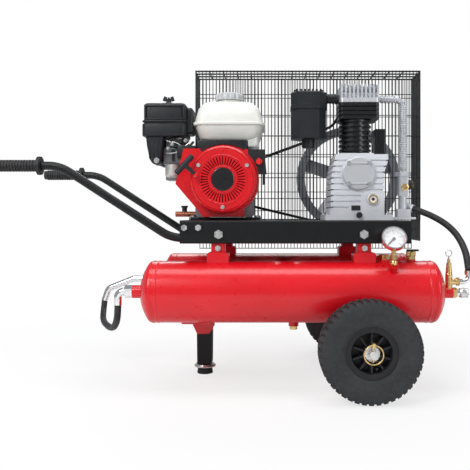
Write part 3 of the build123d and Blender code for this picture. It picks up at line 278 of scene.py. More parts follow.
# ---------------------------------------------------------------- finishes
def gloss_paint(name, colour, deep, peel=1.0):
    """Sprayed gloss paint: faint orange peel and slightly darker patches."""
    shader = Shader(name, colour, 0.32, coat=0.35, coat_roughness=0.08, shine=0.35)
    patches = shader.ramp(shader.noise(5.0, 2.0), 0.35, 0.7)
    shader.set("Base Color", shader.mix(patches, colour, deep))
    shader.uneven(60.0, 0.26, 0.38)
    shader.bump(shader.noise(420.0, 2.0), 0.05 * peel, 0.0006)
    return shader


def satin_paint(name, colour, wear=(0.2, 0.2, 0.2)):
    """Powder coat: fine grain, rubbed lighter along its edges."""
    shader = Shader(name, colour, 0.42, shine=0.3)
    rubbed = shader.edges() * shader.ramp(shader.noise(70.0), 0.4, 0.65)
    shader.set("Base Color", shader.mix(rubbed * 0.35, colour, wear))
    shader.uneven(35.0, 0.36, 0.5)
    shader.bump(shader.cells(900.0), 0.12, 0.0004)
    return shader


def cast_metal(name, colour, dark, rough=0.42, grain=0.35, metallic=0.85):
    """Die-cast metal: pitted skin and darker patches at random."""
    shader = Shader(name, colour, rough, metallic=metallic)
    pits = shader.noise(320.0, 4.0)
    shade = shader.ramp(shader.noise(22.0, 4.0), 0.4, 0.72)
    shader.set("Base Color", shader.mix(shade * 0.5, colour, dark))
    shader.set("Roughness", shader.ramp(pits, 0.3, 0.7, rough - 0.08, rough + 0.14))
    shader.bump(pits, grain, 0.0007)
    return shader


def plated(name, colour, rough, stain=0.25, stained=(0.25, 0.24, 0.22)):
    """Plated or polished metal with faint stains and fine turning marks."""
    shader = Shader(name, colour, rough, metallic=1.0)
    marks = shader.ramp(shader.noise(40.0, 5.0), 0.5, 0.8)
    shader.set("Base Color", shader.mix(marks * stain, colour, stained))
    shader.uneven(120.0, rough * 0.7, rough * 1.5)
    shader.bump(shader.noise(700.0, 2.0), 0.04, 0.0003)
    return shader


def moulded(name, colour, rough=0.45, grain=0.25, scale=650.0, coat=0.0):
    """Moulded plastic with a fine leather-like grain."""
    shader = Shader(name, colour, rough, coat=coat, shine=0.35)
    lighter = tuple(min(1.0, channel * 1.5 + 0.01) for channel in colour)
    shader.set("Base Color", shader.mix(shader.dust() * 0.35, colour, lighter))
    shader.uneven(45.0, rough - 0.06, rough + 0.08)
    shader.bump(shader.cells(scale), grain, 0.0005)
    return shader


def rubber(name, colour, rough=0.62):
    """Moulded rubber with a pale bloom."""
    shader = Shader(name, colour, rough)
    bloom = shader.ramp(shader.noise(14.0, 5.0), 0.45, 0.8)
    shader.set("Base Color", shader.mix(bloom * 0.25, colour, (0.09, 0.09, 0.088)))
    shader.uneven(90.0, rough - 0.08, rough + 0.12)
    shader.bump(shader.noise(800.0, 2.0), 0.18, 0.0004)
    return shader


def lens_finish(name):
    """Clear, almost smooth dial cover."""
    shader = Shader(name, (0.96, 0.98, 1.0), 0.03)
    shader.set("Alpha", 0.12)
    shader.bump(shader.noise(30.0), 0.01, 0.0002)
    return shader


# Castings and covers that carry a second colour: (colour, darker colour, roughness, grain, metal).
PALE_CASTING = ((0.7, 0.715, 0.75), (0.56, 0.57, 0.6), 0.5, 0.3, 0.25)
BRIGHT_CASTING = ((0.7, 0.715, 0.74), (0.5, 0.52, 0.55), 0.4, 0.3, 0.6)
CARBURETTOR_CASTING = ((0.16, 0.165, 0.17), (0.08, 0.08, 0.085), 0.45, 0.4, 0.6)
ENGINE_PAINT = ((0.68, 0.004, 0.01), (0.58, 0.003, 0.007), 0.6)
SOFT_BLACK = (0.012, 0.012, 0.014)


def crankcase_finish(name):
    """Pale cast case with a grey round cover, and a black drain pad and knob low on its face."""
    shader = cast_metal(name, *PALE_CASTING)
    _, y, z = shader.axes()
    shader.cover((y < -0.0975) * (z > 0.51), (0.5, 0.51, 0.53))
    pad = (y < -0.0953) * (z < 0.4795)
    shader.cover(pad, SOFT_BLACK)
    shader.set("Metallic", (1 - pad) * PALE_CASTING[-1])
    return shader


def carburettor_finish(name):
    """Dull grey body over a brighter float bowl."""
    shader = cast_metal(name, *CARBURETTOR_CASTING)
    _, _, z = shader.axes()
    shader.cover(z < 0.5925, (0.62, 0.62, 0.6))
    return shader


def shroud_finish(name):
    """Red fan shroud; the control plate beside it is dark zinc."""
    shader = gloss_paint(name, *ENGINE_PAINT)
    x, _, _ = shader.axes()
    shader.cover((shader.around(CRANK) > 0.0932) * (x > 0.0405), (0.02, 0.02, 0.022))
    return shader


def unloader_finish(name):
    """Pale cast valve with a black knob on its side."""
    shader = cast_metal(name, *BRIGHT_CASTING)
    x, _, z = shader.axes()
    knob = (x > 0.4951) * (z > 0.52)
    shader.cover(knob, SOFT_BLACK)
    shader.set("Metallic", (1 - knob) * BRIGHT_CASTING[-1])
    return shader


def recoil_finish(name):
    """Red starter cover with a plain black disc in its middle."""
    shader = gloss_paint(name, *ENGINE_PAINT)
    _, y, _ = shader.axes()
    shader.cover((shader.around(CRANK) < 0.0303) * (y < -0.1835), (0.008, 0.008, 0.009))
    return shader


def oil_pipe_finish(name):
    """Copper-brown drain pipe under a black cap."""
    shader = plated(name, (0.42, 0.16, 0.1), 0.35, 0.6, (0.2, 0.08, 0.06))
    _, _, z = shader.axes()
    cap = z > 0.4635
    shader.cover(cap, SOFT_BLACK)
    shader.set("Metallic", 1 - cap)
    return shader


def axle_finish(name):
    """Zinc axle with a brass pin through each end."""
    shader = plated(name, (0.72, 0.72, 0.7), 0.28)
    shader.cover(shader.around(WHEEL) > 0.0102, (0.8, 0.56, 0.24))
    return shader


# Each finish: the function that makes it, and what that function takes after the name.
FINISH_VALUES = {
    "pale_casting": (crankcase_finish,),
    "starter_red": (recoil_finish,),
    "carburettor": (carburettor_finish,),
    "shroud_red": (shroud_finish,),
    "unloader": (unloader_finish,),
    "drain_pipe": (oil_pipe_finish,),
    "axle_zinc": (axle_finish,),
    "lens": (lens_finish,),
    "tank_red": (gloss_paint, (0.72, 0.005, 0.013), (0.64, 0.004, 0.01)),
    "engine_red": (gloss_paint, *ENGINE_PAINT),
    "gloss_iron": (gloss_paint, (0.006, 0.006, 0.007), (0.01, 0.01, 0.011), 2.0),
    "frame_black": (satin_paint, (0.0045, 0.005, 0.0055)),
    "rim_black": (satin_paint, (0.016, 0.016, 0.018)),
    "wire_black": (satin_paint, (0.02, 0.021, 0.023), (0.25, 0.25, 0.25)),
    "cast_aluminium": (cast_metal, *BRIGHT_CASTING),
    "dull_casting": (cast_metal, (0.3, 0.31, 0.33), (0.14, 0.14, 0.15), 0.45, 0.4, 0.6),
    "flywheel_grey": (cast_metal, (0.32, 0.33, 0.35), (0.2, 0.2, 0.22), 0.4, 0.3, 0.6),
    "black_iron": (cast_metal, (0.02, 0.02, 0.022), (0.05, 0.05, 0.05), 0.45, 0.4, 0.2),
    "zinc": (plated, (0.72, 0.72, 0.7), 0.3),
    "chrome": (plated, (0.86, 0.86, 0.86), 0.1, 0.12),
    "steel": (plated, (0.6, 0.6, 0.61), 0.3),
    "brass": (plated, (0.82, 0.58, 0.26), 0.24, 0.45, (0.4, 0.24, 0.08)),
    "fuel_white": (moulded, (0.74, 0.74, 0.69), 0.34, 0.05, 500.0, 0.3),
    "cream_plastic": (moulded, (0.83, 0.82, 0.76), 0.38, 0.06, 500.0, 0.2),
    "black_plastic": (moulded, (0.014, 0.016, 0.019), 0.4),
    "red_plastic": (moulded, (0.75, 0.02, 0.02), 0.35, 0.05),
    "grey_plastic": (moulded, (0.5, 0.51, 0.52), 0.4, 0.1),
    "dial_white": (moulded, (0.88, 0.88, 0.86), 0.5, 0.0),
    "print_black": (moulded, (0.02, 0.02, 0.02), 0.6, 0.0),
    "print_red": (moulded, (0.6, 0.03, 0.02), 0.6, 0.0),
    "rubber_black": (rubber, (0.01, 0.01, 0.011)),
    "tyre": (rubber, (0.02, 0.0215, 0.024), 0.7),
    "rope": (rubber, (0.6, 0.6, 0.56), 0.8),
}

set_camera()
set_studio()
FINISH = {name: make(name, *values).material for name, (make, *values) in FINISH_VALUES.items()}


# CAD nodes with a finish other than their slot's.
SPECIAL = {"pump_crankcase": "pale_casting", "recoil_housing": "starter_red",
           "oil_filler": "drain_pipe", "axle": "axle_zinc", "pump_cylinder": "gloss_iron",
           "pump_flywheel": "flywheel_grey", "wing_nut": "black_plastic",
           "carburettor": "carburettor", "fan_shroud": "shroud_red",
           "unloader_valve": "unloader", "engine_crankcase": "dull_casting",
           "engine_cylinder": "dull_casting"}


def dress_cad_nodes():
    """The record's slot gives each node its finish, apart from the special ones."""
    for subpart in frame["record"]["subparts"]:
        name, slot = subpart["node"], subpart["material_slot"]
        node = frame["nodes"][name]
        node.data.materials.clear()
        node.data.materials.append(FINISH[SPECIAL.get(name, slot)])


dress_cad_nodes()


# ---------------------------------------------------------------- mesh tools
def piece(name, mesh, finish, body="root", smooth=35.0):
    """A finished mesh as a piece of the object, riding on a body."""
    made = bpy.data.objects.new(name, mesh)
    bpy.context.scene.collection.objects.link(made)
    made.data.materials.append(FINISH[finish])
    if smooth:
        mesh.polygons.foreach_set("use_smooth", [True] * len(mesh.polygons))
        mesh.set_sharp_from_angle(angle=math.radians(smooth))
    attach(made, body)
    return made


def to_mesh(name, form):
    mesh = bpy.data.meshes.new(name)
    bmesh.ops.recalc_face_normals(form, faces=form.faces)
    form.to_mesh(mesh)
    form.free()
    return mesh


def add_bar(form, start, end, radius, sides=8):
    """A round bar between two points, closed at its ends."""
    axis = end - start
    turn = axis.to_track_quat("Z", "Y").to_matrix().to_4x4()
    middle = Matrix.Translation((start + end) / 2)
    bmesh.ops.create_cone(form, cap_ends=True, segments=sides, radius1=radius, radius2=radius,
                          depth=axis.length, matrix=middle @ turn)


def add_lathe(form, profile, origin, axis, steps=64):
    """A turned surface; profile lists (distance along the axis, radius)."""
    turn = Vector(axis).to_track_quat("Z", "Y").to_matrix()
    rings = []
    for along, radius in profile:
        count = steps if radius > 1e-6 else 1
        ring = [on_circle(radius, 2 * math.pi * step / steps, along) for step in range(count)]
        rings.append([form.verts.new(origin + turn @ point) for point in ring])
    for ring, after in zip(rings, rings[1:]):
        for step in range(steps):
            corners = [ring[step % len(ring)], ring[(step + 1) % len(ring)],
                       after[(step + 1) % len(after)], after[step % len(after)]]
            corners = list(dict.fromkeys(corners))
            if len(corners) > 2:
                form.faces.new(corners)


# ---------------------------------------------------------------- belt guard
WIRE = 0.0026
WIRE_PITCH = 0.0105
WIRE_SIDES = 6


def guard_mesh(name, node, crossbars, spikes):
    """Welded wire mesh that fills a panel: upright wires, and cross wires behind them.

    The upright wires stand above the top cross wire by spikes.
    """
    low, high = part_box(node)
    middle_y = (low.y + high.y) / 2
    form = bmesh.new()
    columns = round((high.x - low.x) / WIRE_PITCH)
    radius = WIRE / 2
    top = high.z - spikes
    for column in range(columns + 1):
        x = low.x + radius + (high.x - low.x - WIRE) * column / columns
        y = middle_y - radius
        add_bar(form, Vector((x, y, low.z)), Vector((x, y, high.z)), radius, WIRE_SIDES)
    for row in range(crossbars + 1):
        z = low.z + radius + (top - low.z - WIRE) * row / crossbars
        y = middle_y + radius
        add_bar(form, Vector((low.x, y, z)), Vector((high.x, y, z)), radius, WIRE_SIDES)
    made = piece(name, to_mesh(name, form), "wire_black", smooth=60)
    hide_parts(node)


guard_mesh("guard_near_wires", "guard_near_mesh", 7, 0.008)
guard_mesh("guard_far_wires", "guard_far_mesh", 9, 0.0)


# ---------------------------------------------------------------- hoses
def hose(name, node, route):
    """A rubber hose along its own line of control points."""
    curve = bpy.data.curves.new(name, "CURVE")
    curve.dimensions = "3D"
    spline = curve.splines.new("NURBS")
    spline.points.add(len(route) - 1)
    for point, place in zip(spline.points, route):
        point.co = (*mm(*place), 1)
    spline.order_u = 3
    spline.use_endpoint_u = True
    curve.bevel_depth = HOSE_RADIUS
    curve.bevel_resolution = 5
    curve.resolution_u = 10
    curve.use_fill_caps = True
    made = bpy.data.objects.new(name, curve)
    bpy.context.scene.collection.objects.link(made)
    made.data.materials.append(FINISH["rubber_black"])
    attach(made, "root")
    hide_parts(node)
    runs = [mm(*a) - mm(*b) for a, b in zip(route, route[1:])]
    tuple(mm(*route[0]))


BALANCE_ROUTE = [(-298, -170, 218), (-299, -168, 198), (-303, -158, 179), (-311, -140, 163),
                 (-322, -115, 151), (-337, -80, 143), (-354, -40, 138), (-371, 2, 136),
                 (-388, 44, 135), (-402, 83, 137), (-412, 116, 142), (-418, 143, 152),
                 (-421, 161, 167), (-421, 170, 186)]
DELIVERY_ROUTE = [(516, 20, 472), (545, 2, 460), (572, -20, 445), (594, -46, 427),
                  (610, -74, 405), (619, -101, 380), (622, -127, 355), (620, -151, 332),
                  (617, -170, 308)]
hose("balance_line", "balance_hose", BALANCE_ROUTE)
hose("delivery_line", "delivery_hose", DELIVERY_ROUTE)


# ---------------------------------------------------------------- rounded forms
def ring_points(x0, x1, y0, y1, z, corner, steps=5):
    """A rounded rectangle at one height."""
    corner = max(0.0003, min(corner, (x1 - x0) / 2, (y1 - y0) / 2))
    centres = ((x1 - corner, y1 - corner), (x0 + corner, y1 - corner),
               (x0 + corner, y0 + corner), (x1 - corner, y0 + corner))
    points = []
    for quarter, (centre_x, centre_y) in enumerate(centres):
        for step in range(steps + 1):
            angle = math.pi / 2 * (quarter + step / steps)
            points.append(Vector((centre_x, centre_y, z)) + on_circle(corner, angle))
    return points


def add_loft(form, sections, turn=Matrix.Identity(4)):
    """A closed skin over sections that have the same number of points."""
    rings = [[form.verts.new(turn @ point) for point in section] for section in sections]
    count = len(rings[0])
    for ring, after in zip(rings, rings[1:]):
        for step in range(count):
            beside = (step + 1) % count
            form.faces.new((ring[step], ring[beside], after[beside], after[step]))
    form.faces.new(rings[0])
    form.faces.new(rings[-1])


def add_pillow(form, x0, x1, y0, y1, z0, z1, corner, edge, turn=Matrix.Identity(4), steps=4):
    """A box in millimetres with rounded upright corners and soft top and bottom edges."""
    sections = []
    for side in (0, 1):
        for step in range(steps + 1):
            angle = math.pi / 2 * (step / steps if side == 0 else 1 - step / steps)
            inset = edge * (1 - math.sin(angle))
            height = edge * (1 - math.cos(angle))
            z = z0 + height if side == 0 else z1 - height
            outline = ring_points(x0 + inset, x1 - inset, y0 + inset, y1 - inset, z, corner - inset)
            sections.append([point * MM for point in outline])
    add_loft(form, sections, turn)


def add_sections(form, table, corner):
    """A skin over rounded rectangles; the table lists (z, x0, x1, y0, y1) in millimetres."""
    add_loft(form, [[point * MM for point in ring_points(x0, x1, y0, y1, z, corner)]
                    for z, x0, x1, y0, y1 in table])


def add_arc_band(form, centre, radii, angles, depth, steps=24):
    """A curved strip round an axis along Y, closed all round."""
    sections = []
    for step in range(steps + 1):
        angle = math.radians(angles[0] + (angles[1] - angles[0]) * step / steps)
        outward = Vector((math.cos(angle), 0, math.sin(angle)))
        corners = ((radii[0], depth[0]), (radii[0], depth[1]),
                   (radii[1], depth[1]), (radii[1], depth[0]))
        sections.append([centre + outward * radius + Vector((0, y, 0)) for radius, y in corners])
    add_loft(form, sections)


def add_pipe(form, points, radius, sides=8):
    """A round wire or pipe through a list of points."""
    sections = []
    for index, point in enumerate(points):
        before, after = points[max(index - 1, 0)], points[min(index + 1, len(points) - 1)]
        turn = (after - before).to_track_quat("Z", "Y").to_matrix()
        sections.append([point + turn @ on_circle(radius, 2 * math.pi * side / sides)
                         for side in range(sides)])
    add_loft(form, sections)


def bend(*corners, steps=8):
    """Points of a smooth line through the middles of a list of corners, in millimetres."""
    corners = [mm(*corner) for corner in corners]
    points = [corners[0]]
    for before, corner, after in zip(corners, corners[1:], corners[2:]):
        start = (before + corner) / 2 if before is not corners[0] else before
        end = (corner + after) / 2 if after is not corners[-1] else after
        for step in range(1, steps + 1):
            share = step / steps
            points.append((1 - share) ** 2 * start + 2 * share * (1 - share) * corner
                          + share ** 2 * end)
    return points


def coil(start, end, radius, turns, steps=10):
    """Points of a spring between two places."""
    axis = end - start
    turn = axis.to_track_quat("Z", "Y").to_matrix()
    total = turns * steps
    return [start + axis * (step / total) + turn @ on_circle(radius, 2 * math.pi * step / steps)
            for step in range(total + 1)]


def add_screw(form, place, axis, radius, height):
    """A washer, and a hexagon head with a chamfered rim on it."""
    rim, washer = radius * 1.35, height * 0.25
    add_lathe(form, [(0, 0), (0, rim), (washer, rim), (washer, 0)], place, axis, 20)
    add_lathe(form, [(washer, 0), (washer, radius), (height * 0.85, radius),
                     (height, radius * 0.85), (height, 0)], place, axis, 6)


# ---------------------------------------------------------------- tyres
LUGS = 44


def tyre(name, node, body):
    """Bias-ply carcass with a block tread on both shoulders and moulded rings on its walls."""
    low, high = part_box(node)
    middle = middle_of(node)
    outer = (high.z - low.z) / 2
    half = (high.y - low.y) / 2
    form = bmesh.new()
    wall = [(0.66, 0.52), (0.8, 0.505), (0.93, 0.56), (0.985, 0.64), (1.0, 0.70), (0.99, 0.715),
            (0.995, 0.73), (1.0, 0.78), (0.985, 0.85), (0.95, 0.9), (0.86, 0.948), (0.6, 0.97),
            (0.3, 0.976)]
    profile = [(-half * y, outer * r) for y, r in wall] + [(0, outer * 0.978)]
    profile += [(half * y, outer * r) for y, r in reversed(wall)]
    profile += [profile[0]]
    add_lathe(form, profile, middle, (0, 1, 0), 96)
    # A lug's sections, from the tyre's middle out: (place across the tread, inner radius,
    # outer radius, lead round the tyre, half width).
    lug = ((0.06, 0.95, 0.998, 0.35, 0.38), (0.5, 0.95, 1.0, 0.0, 0.37),
           (0.8, 0.9, 0.982, -0.05, 0.35), (0.965, 0.85, 0.915, -0.05, 0.31))
    pitch = 2 * math.pi / LUGS
    for index in range(LUGS):
        for side in (-1, 1):
            heading = pitch * (index + (0.5 if side > 0 else 0))
            sections = []
            for y, r_in, r_out, lead, width in lug:
                corners = []
                for r, offset in ((r_in, -width), (r_in, width), (r_out, width * 0.85),
                                  (r_out, -width * 0.85)):
                    angle = heading + (lead + offset) * pitch
                    corners.append(middle + Vector((outer * r * math.cos(angle), side * half * y,
                                                    outer * r * math.sin(angle))))
                sections.append(corners)
            add_loft(form, sections)
    made = piece(name, to_mesh(name, form), "tyre", body, 40)
    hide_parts(node)


tyre("right_tread", "right_tyre", "right_wheel")
tyre("left_tread", "left_tyre", "left_wheel")


# ---------------------------------------------------------------- engine
def fuel_tank():
    """Blow-moulded tank: two shells that narrow away from a flanged seam, and a sump."""
    form = bmesh.new()
    add_sections(form, [(655, -80, 50, -92, 50), (657, -88, 60, -98, 56), (664, -95, 68, -104, 63),
                        (690, -103, 77, -109, 68), (698, -105, 79, -111, 69)], 26)
    add_pillow(form, -112, 86, -115, 73, 697, 706, 30, 2.5)
    add_sections(form, [(705, -107, 81, -111, 69), (724, -103, 76, -110, 68),
                        (742, -98, 70, -106, 64), (754, -91, 61, -100, 58), (761, -82, 51, -92, 50),
                        (765, -70, 38, -80, 40), (766.5, -56, 26, -68, 28)], 26)
    add_pillow(form, 22, 68, -98, 54, 638, 668, 14, 5)
    neck = middle_of("fuel_cap")
    neck.z = 0.765
    add_lathe(form, [(0, 0), (0, 0.036), (0.006, 0.034), (0.0105, 0.034), (0.0105, 0)], neck,
              (0, 0, 1))
    made = piece("fuel_shells", to_mesh("fuel_shells", form), "fuel_white", smooth=50)
    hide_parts("fuel_tank")

    # The black carrier under the tank, the engine's foot, the cowl over the cover and a small box.
    form = bmesh.new()
    add_pillow(form, -104, 40, -104, 52, 623, 657, 10, 3)
    add_pillow(form, -120, 72, -88, 76, 439.3, 446.6, 8, 1)
    add_arc_band(form, Vector((CRANK.x, 0, CRANK.z)), (0.0945, 0.103), (22, 128), (-0.151, -0.1))
    add_pillow(form, -152, -100, -120, -70, 612, 640, 6, 3)
    piece("engine_cowl", to_mesh("engine_cowl", form), "black_plastic")


def fuel_cap():
    """Grey cap with finger notches round its skirt; its skin lists (height, radius, notch)."""
    notches, steps = 12, 144
    low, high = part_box("fuel_cap")
    centre = middle_of("fuel_cap")
    centre.z = 0
    outer = (high.x - low.x) / 2
    sections = []
    for share, r, notch in ((0, 0.9, 0.0), (0.02, 0.99, 0.2), (0.12, 1.0, 1.0), (0.7, 0.99, 1.0),
                            (0.82, 0.95, 0.8), (0.9, 0.84, 0.1), (0.91, 0.62, 0), (0.82, 0.58, 0),
                            (0.82, 0.24, 0), (0.97, 0.2, 0), (1.0, 0.14, 0)):
        section = []
        for step in range(steps):
            angle = 2 * math.pi * step / steps
            dip = max(0.0, math.cos(notches * angle)) ** 2 * 0.13 * notch
            height = low.z + (high.z - low.z) * share
            section.append(centre + on_circle(outer * (r - dip), angle, height))
        sections.append(section)
    form = bmesh.new()
    add_loft(form, sections)
    made = piece("fuel_cap_skirt", to_mesh("fuel_cap_skirt", form), "grey_plastic", "cap", 40)
    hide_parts("fuel_cap")


def air_cleaner():
    """Two-part filter box with a framed front panel, a wider skirt and a horn below."""
    form = bmesh.new()
    add_pillow(form, -243, -128, -117, -12, 696, 756, 15, 9)
    add_pillow(form, -247, -126, -121, -8, 704, 709, 16, 2)
    add_pillow(form, -247, -127, -120, -9, 666, 700, 15, 3)
    add_pillow(form, -134, -111, -100, -28, 674, 746, 7, 8)
    for x in (-240, -136):
        add_pillow(form, x, x + 5, -120.5, -112, 712, 748, 2, 1.2)
    add_pillow(form, -240, -131, -120.5, -112, 745, 750, 2, 1.2)
    add_pillow(form, -238, -133, -120, -112, 711, 714, 1, 0.8)
    add_pillow(form, -205, -160, -92, -38, 753, 760, 12, 3)
    stud = middle_of("wing_nut")
    stud.z = 0.759
    add_lathe(form, [(0, 0), (0, 0.011), (0.006, 0.008), (0.007, 0.003), (0.02, 0.003), (0.02, 0)],
              stud, (0, 0, 1), 32)
    add_sections(form, [(590, -214, -204, -100, -60), (594, -222, -198, -106, -54),
                        (604, -228, -196, -110, -48), (640, -235, -192, -112, -44),
                        (667, -238, -188, -112, -40)], 9)
    for x in (-228, -217, -206):
        add_pillow(form, x, x + 2.5, -113.5, -108, 606, 662, 0.8, 0.8)
    made = piece("filter_box", to_mesh("filter_box", form), "black_plastic", smooth=40)
    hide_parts("air_cleaner")


def linkages():
    """Governor rods, springs and screws, and the fuel line, between filter box and cover."""
    form = bmesh.new()
    add_pipe(form, bend((-196, -98, 664), (-176, -104, 650), (-158, -106, 652),
                        (-140, -108, 640)), 0.0014)
    add_pipe(form, bend((-188, -96, 622), (-160, -110, 618), (-136, -112, 632),
                        (-118, -112, 650)), 0.0013)
    add_pipe(form, coil(mm(-176, -100, 656), mm(-140, -104, 662), 0.0032, 12), 0.0007, 5)
    add_pipe(form, coil(mm(-150, -110, 612), mm(-126, -112, 634), 0.0026, 11), 0.0006, 5)
    for x, y, z, size in ((-207, -113, 600, 5.5), (-166, -104, 646, 4), (-146, -104, 628, 3.6),
                          (-178, -104, 634, 3.4), (-130, -104, 655, 4)):
        add_screw(form, mm(x, y, z), TO_FRONT, size * MM, 0.005)
    piece("governor_links", to_mesh("governor_links", form), "zinc")

    form = bmesh.new()
    add_pipe(form, bend((-150, -60, 560), (-136, -108, 572), (-134, -116, 606),
                        (-124, -110, 634), (-110, -96, 652)), 0.0034, 10)
    add_pipe(form, bend((-200, -70, 668), (-186, -102, 662), (-166, -106, 668),
                        (-146, -98, 676)), 0.003, 10)
    add_pillow(form, -172, -140, -106, -92, 646, 664, 3, 1.5)
    add_pillow(form, -152, -134, -112, -96, 604, 642, 3, 1.5)
    piece("fuel_line", to_mesh("fuel_line", form), "rubber_black")


def starter_cover():
    """Raised rings, bolt bosses and two lower ribs on the starter cover's face."""
    face = Vector((CRANK.x, -0.188, CRANK.z))
    step_back = Vector((CRANK.x, -0.1865, CRANK.z))
    form = bmesh.new()
    for place, r, width in ((face, 0.0635, 0.0012), (step_back, 0.0815, 0.0016),
                            (face, 0.0335, 0.0012)):
        crest = [(-0.001, r - width), (0.0008, r - width * 0.6), (0.0014, r),
                 (0.0008, r + width * 0.6), (-0.001, r + width), (-0.001, r - width)]
        add_lathe(form, crest, place, TO_FRONT, 96)
    for radii in ((0.0665, 0.0685), (0.0765, 0.0785)):
        add_arc_band(form, face, radii, (238, 302), (-0.0015, 0.001), 20)
    for angle in (30, 150, 270):
        turn = math.radians(angle)
        place = face + Vector((0.072 * math.cos(turn), 0.0, 0.072 * math.sin(turn)))
        add_lathe(form, [(-0.002, 0), (-0.002, 0.0105), (0.0005, 0.0098), (0.0008, 0.008),
                         (0.0008, 0)], place, TO_FRONT, 32)
    piece("starter_cover_rings", to_mesh("starter_cover_rings", form), "engine_red")


fuel_tank()
fuel_cap()
air_cleaner()
linkages()
starter_cover()


# ---------------------------------------------------------------- pump
def intake_filter():
    """Faceted filter can: a lid with a band, a castellated top, a spigot and a pipe."""
    def facets(inset, z, cut):
        x0, x1, y0, y1 = 160 + inset, 257 - inset, -62 + inset, 22 - inset
        corners = ((x0 + cut, y0), (x1 - cut, y0), (x1, y0 + cut), (x1, y1 - cut),
                   (x1 - cut, y1), (x0 + cut, y1), (x0, y1 - cut), (x0, y0 + cut))
        return [mm(x, y, z) for x, y in corners]

    can = ((4, 667, 20), (1, 668, 21), (0, 670, 21), (0, 750, 21))
    lid = ((-1, 749, 21), (-2.5, 750, 21), (-2.5, 762, 21), (-1, 763, 21), (-1, 796, 21),
           (1, 799, 21), (6, 800, 19))
    form = bmesh.new()
    for rows in (can, lid):
        add_loft(form, [facets(*row) for row in rows])
    for x in range(172, 246, 11):
        for y in (-54, 8):
            add_pillow(form, x, x + 6, y, y + 8, 798, 806, 1.2, 1.2)
    for y in range(-40, 4, 11):
        for x in (166, 243):
            add_pillow(form, x, x + 8, y, y + 6, 798, 806, 1.2, 1.2)
    add_lathe(form, [(0, 0), (0, 0.0175), (0.004, 0.0185), (0.018, 0.0185),
                     (0.03, 0.0185), (0.03, 0)],
              mm(208, -20, 644), (0, 0, 1), 40)
    ridges = [(0, 0)]
    for start in range(0, 32, 8):
        ridges += [(start * MM, 0.0125), ((start + 4) * MM, 0.0125), ((start + 5) * MM, 0.0148),
                   ((start + 7) * MM, 0.0148)]
    add_lathe(form, ridges + [(0.038, 0.0125), (0.038, 0)], mm(256, -20, 783), (1, 0, 0), 40)
    made = piece("filter_can", to_mesh("filter_can", form), "black_plastic", smooth=20)
    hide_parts("intake_filter")


SIGHT_X, SIGHT_Z = 380, 496


def pump_details():
    """Bars cast on the crankcase cover, sight glass, breather pipe and brass valve nuts."""
    form = bmesh.new()
    for z in (538, 594):
        add_pillow(form, 318, 364, -106.5, -102, z - 2.5, z + 2.5, 1.5, 1)
    add_lathe(form, [(0, 0.0105), (0, 0.0165), (0.004, 0.016), (0.005, 0.0145), (0.005, 0.0135),
                     (0, 0.0105)], mm(SIGHT_X, -95, SIGHT_Z), TO_FRONT, 40)
    piece("cover_bars", to_mesh("cover_bars", form), "pale_casting")

    form = bmesh.new()
    add_pipe(form, bend((246, 20, 700), (268, 34, 706), (290, 34, 722), (300, 30, 744)), 0.004, 10)
    piece("breather_pipe", to_mesh("breather_pipe", form), "rubber_black")

    form = bmesh.new()
    add_lathe(form, [(0, 0), (0, 0.0098), (0.001, 0.0098), (0.0015, 0)],
              mm(SIGHT_X, -96, SIGHT_Z), TO_FRONT, 32)
    piece("sight_glass", to_mesh("sight_glass", form), "dial_white")

    form = bmesh.new()
    add_lathe(form, [(0, 0), (0, 0.0042), (0.0006, 0.0042), (0.0009, 0)],
              mm(SIGHT_X, -97.2, SIGHT_Z), TO_FRONT, 24)
    piece("sight_mark", to_mesh("sight_mark", form), "print_black")

    form = bmesh.new()
    add_lathe(form, [(0, 0), (0, 0.0105), (0.002, 0.0112), (0.005, 0.0112), (0.006, 0.009),
                     (0.006, 0.006), (0.004, 0)], mm(481, -29, 532), TO_FRONT, 6)
    add_lathe(form, [(0, 0), (0, 0.0122), (0.003, 0.0122), (0.003, 0)], mm(508, -5, 540),
              (-1, 0, 0), 32)
    piece("valve_nut", to_mesh("valve_nut", form), "brass")


def cooling_fins():
    """Thin fins pressed on the pipe from the head, round its bend and down to the valve."""
    form = bmesh.new()
    bend_r, corner_x, corner_z, pitch = 22, 481, 785, 5
    fins = [(x, corner_z, 0) for x in range(418, corner_x - bend_r, pitch)]
    for step in range(7):
        angle = math.pi / 2 * step / 6
        fins.append((corner_x - bend_r + bend_r * math.sin(angle),
                     corner_z - bend_r + bend_r * math.cos(angle), angle))
    fins += [(corner_x, z, math.pi / 2) for z in range(757, 580, -pitch)]
    for x, z, angle in fins:
        along = Vector((math.cos(angle), 0, -math.sin(angle)))
        add_lathe(form, [(-0.0011, 0), (-0.0011, 0.0104), (-0.0006, 0.0112), (0.0006, 0.0112),
                         (0.0011, 0.0104), (0.0011, 0)], mm(x, -5, z), along, 28)
    piece("pipe_fins", to_mesh("pipe_fins", form), "cast_aluminium")


intake_filter()
pump_details()
cooling_fins()


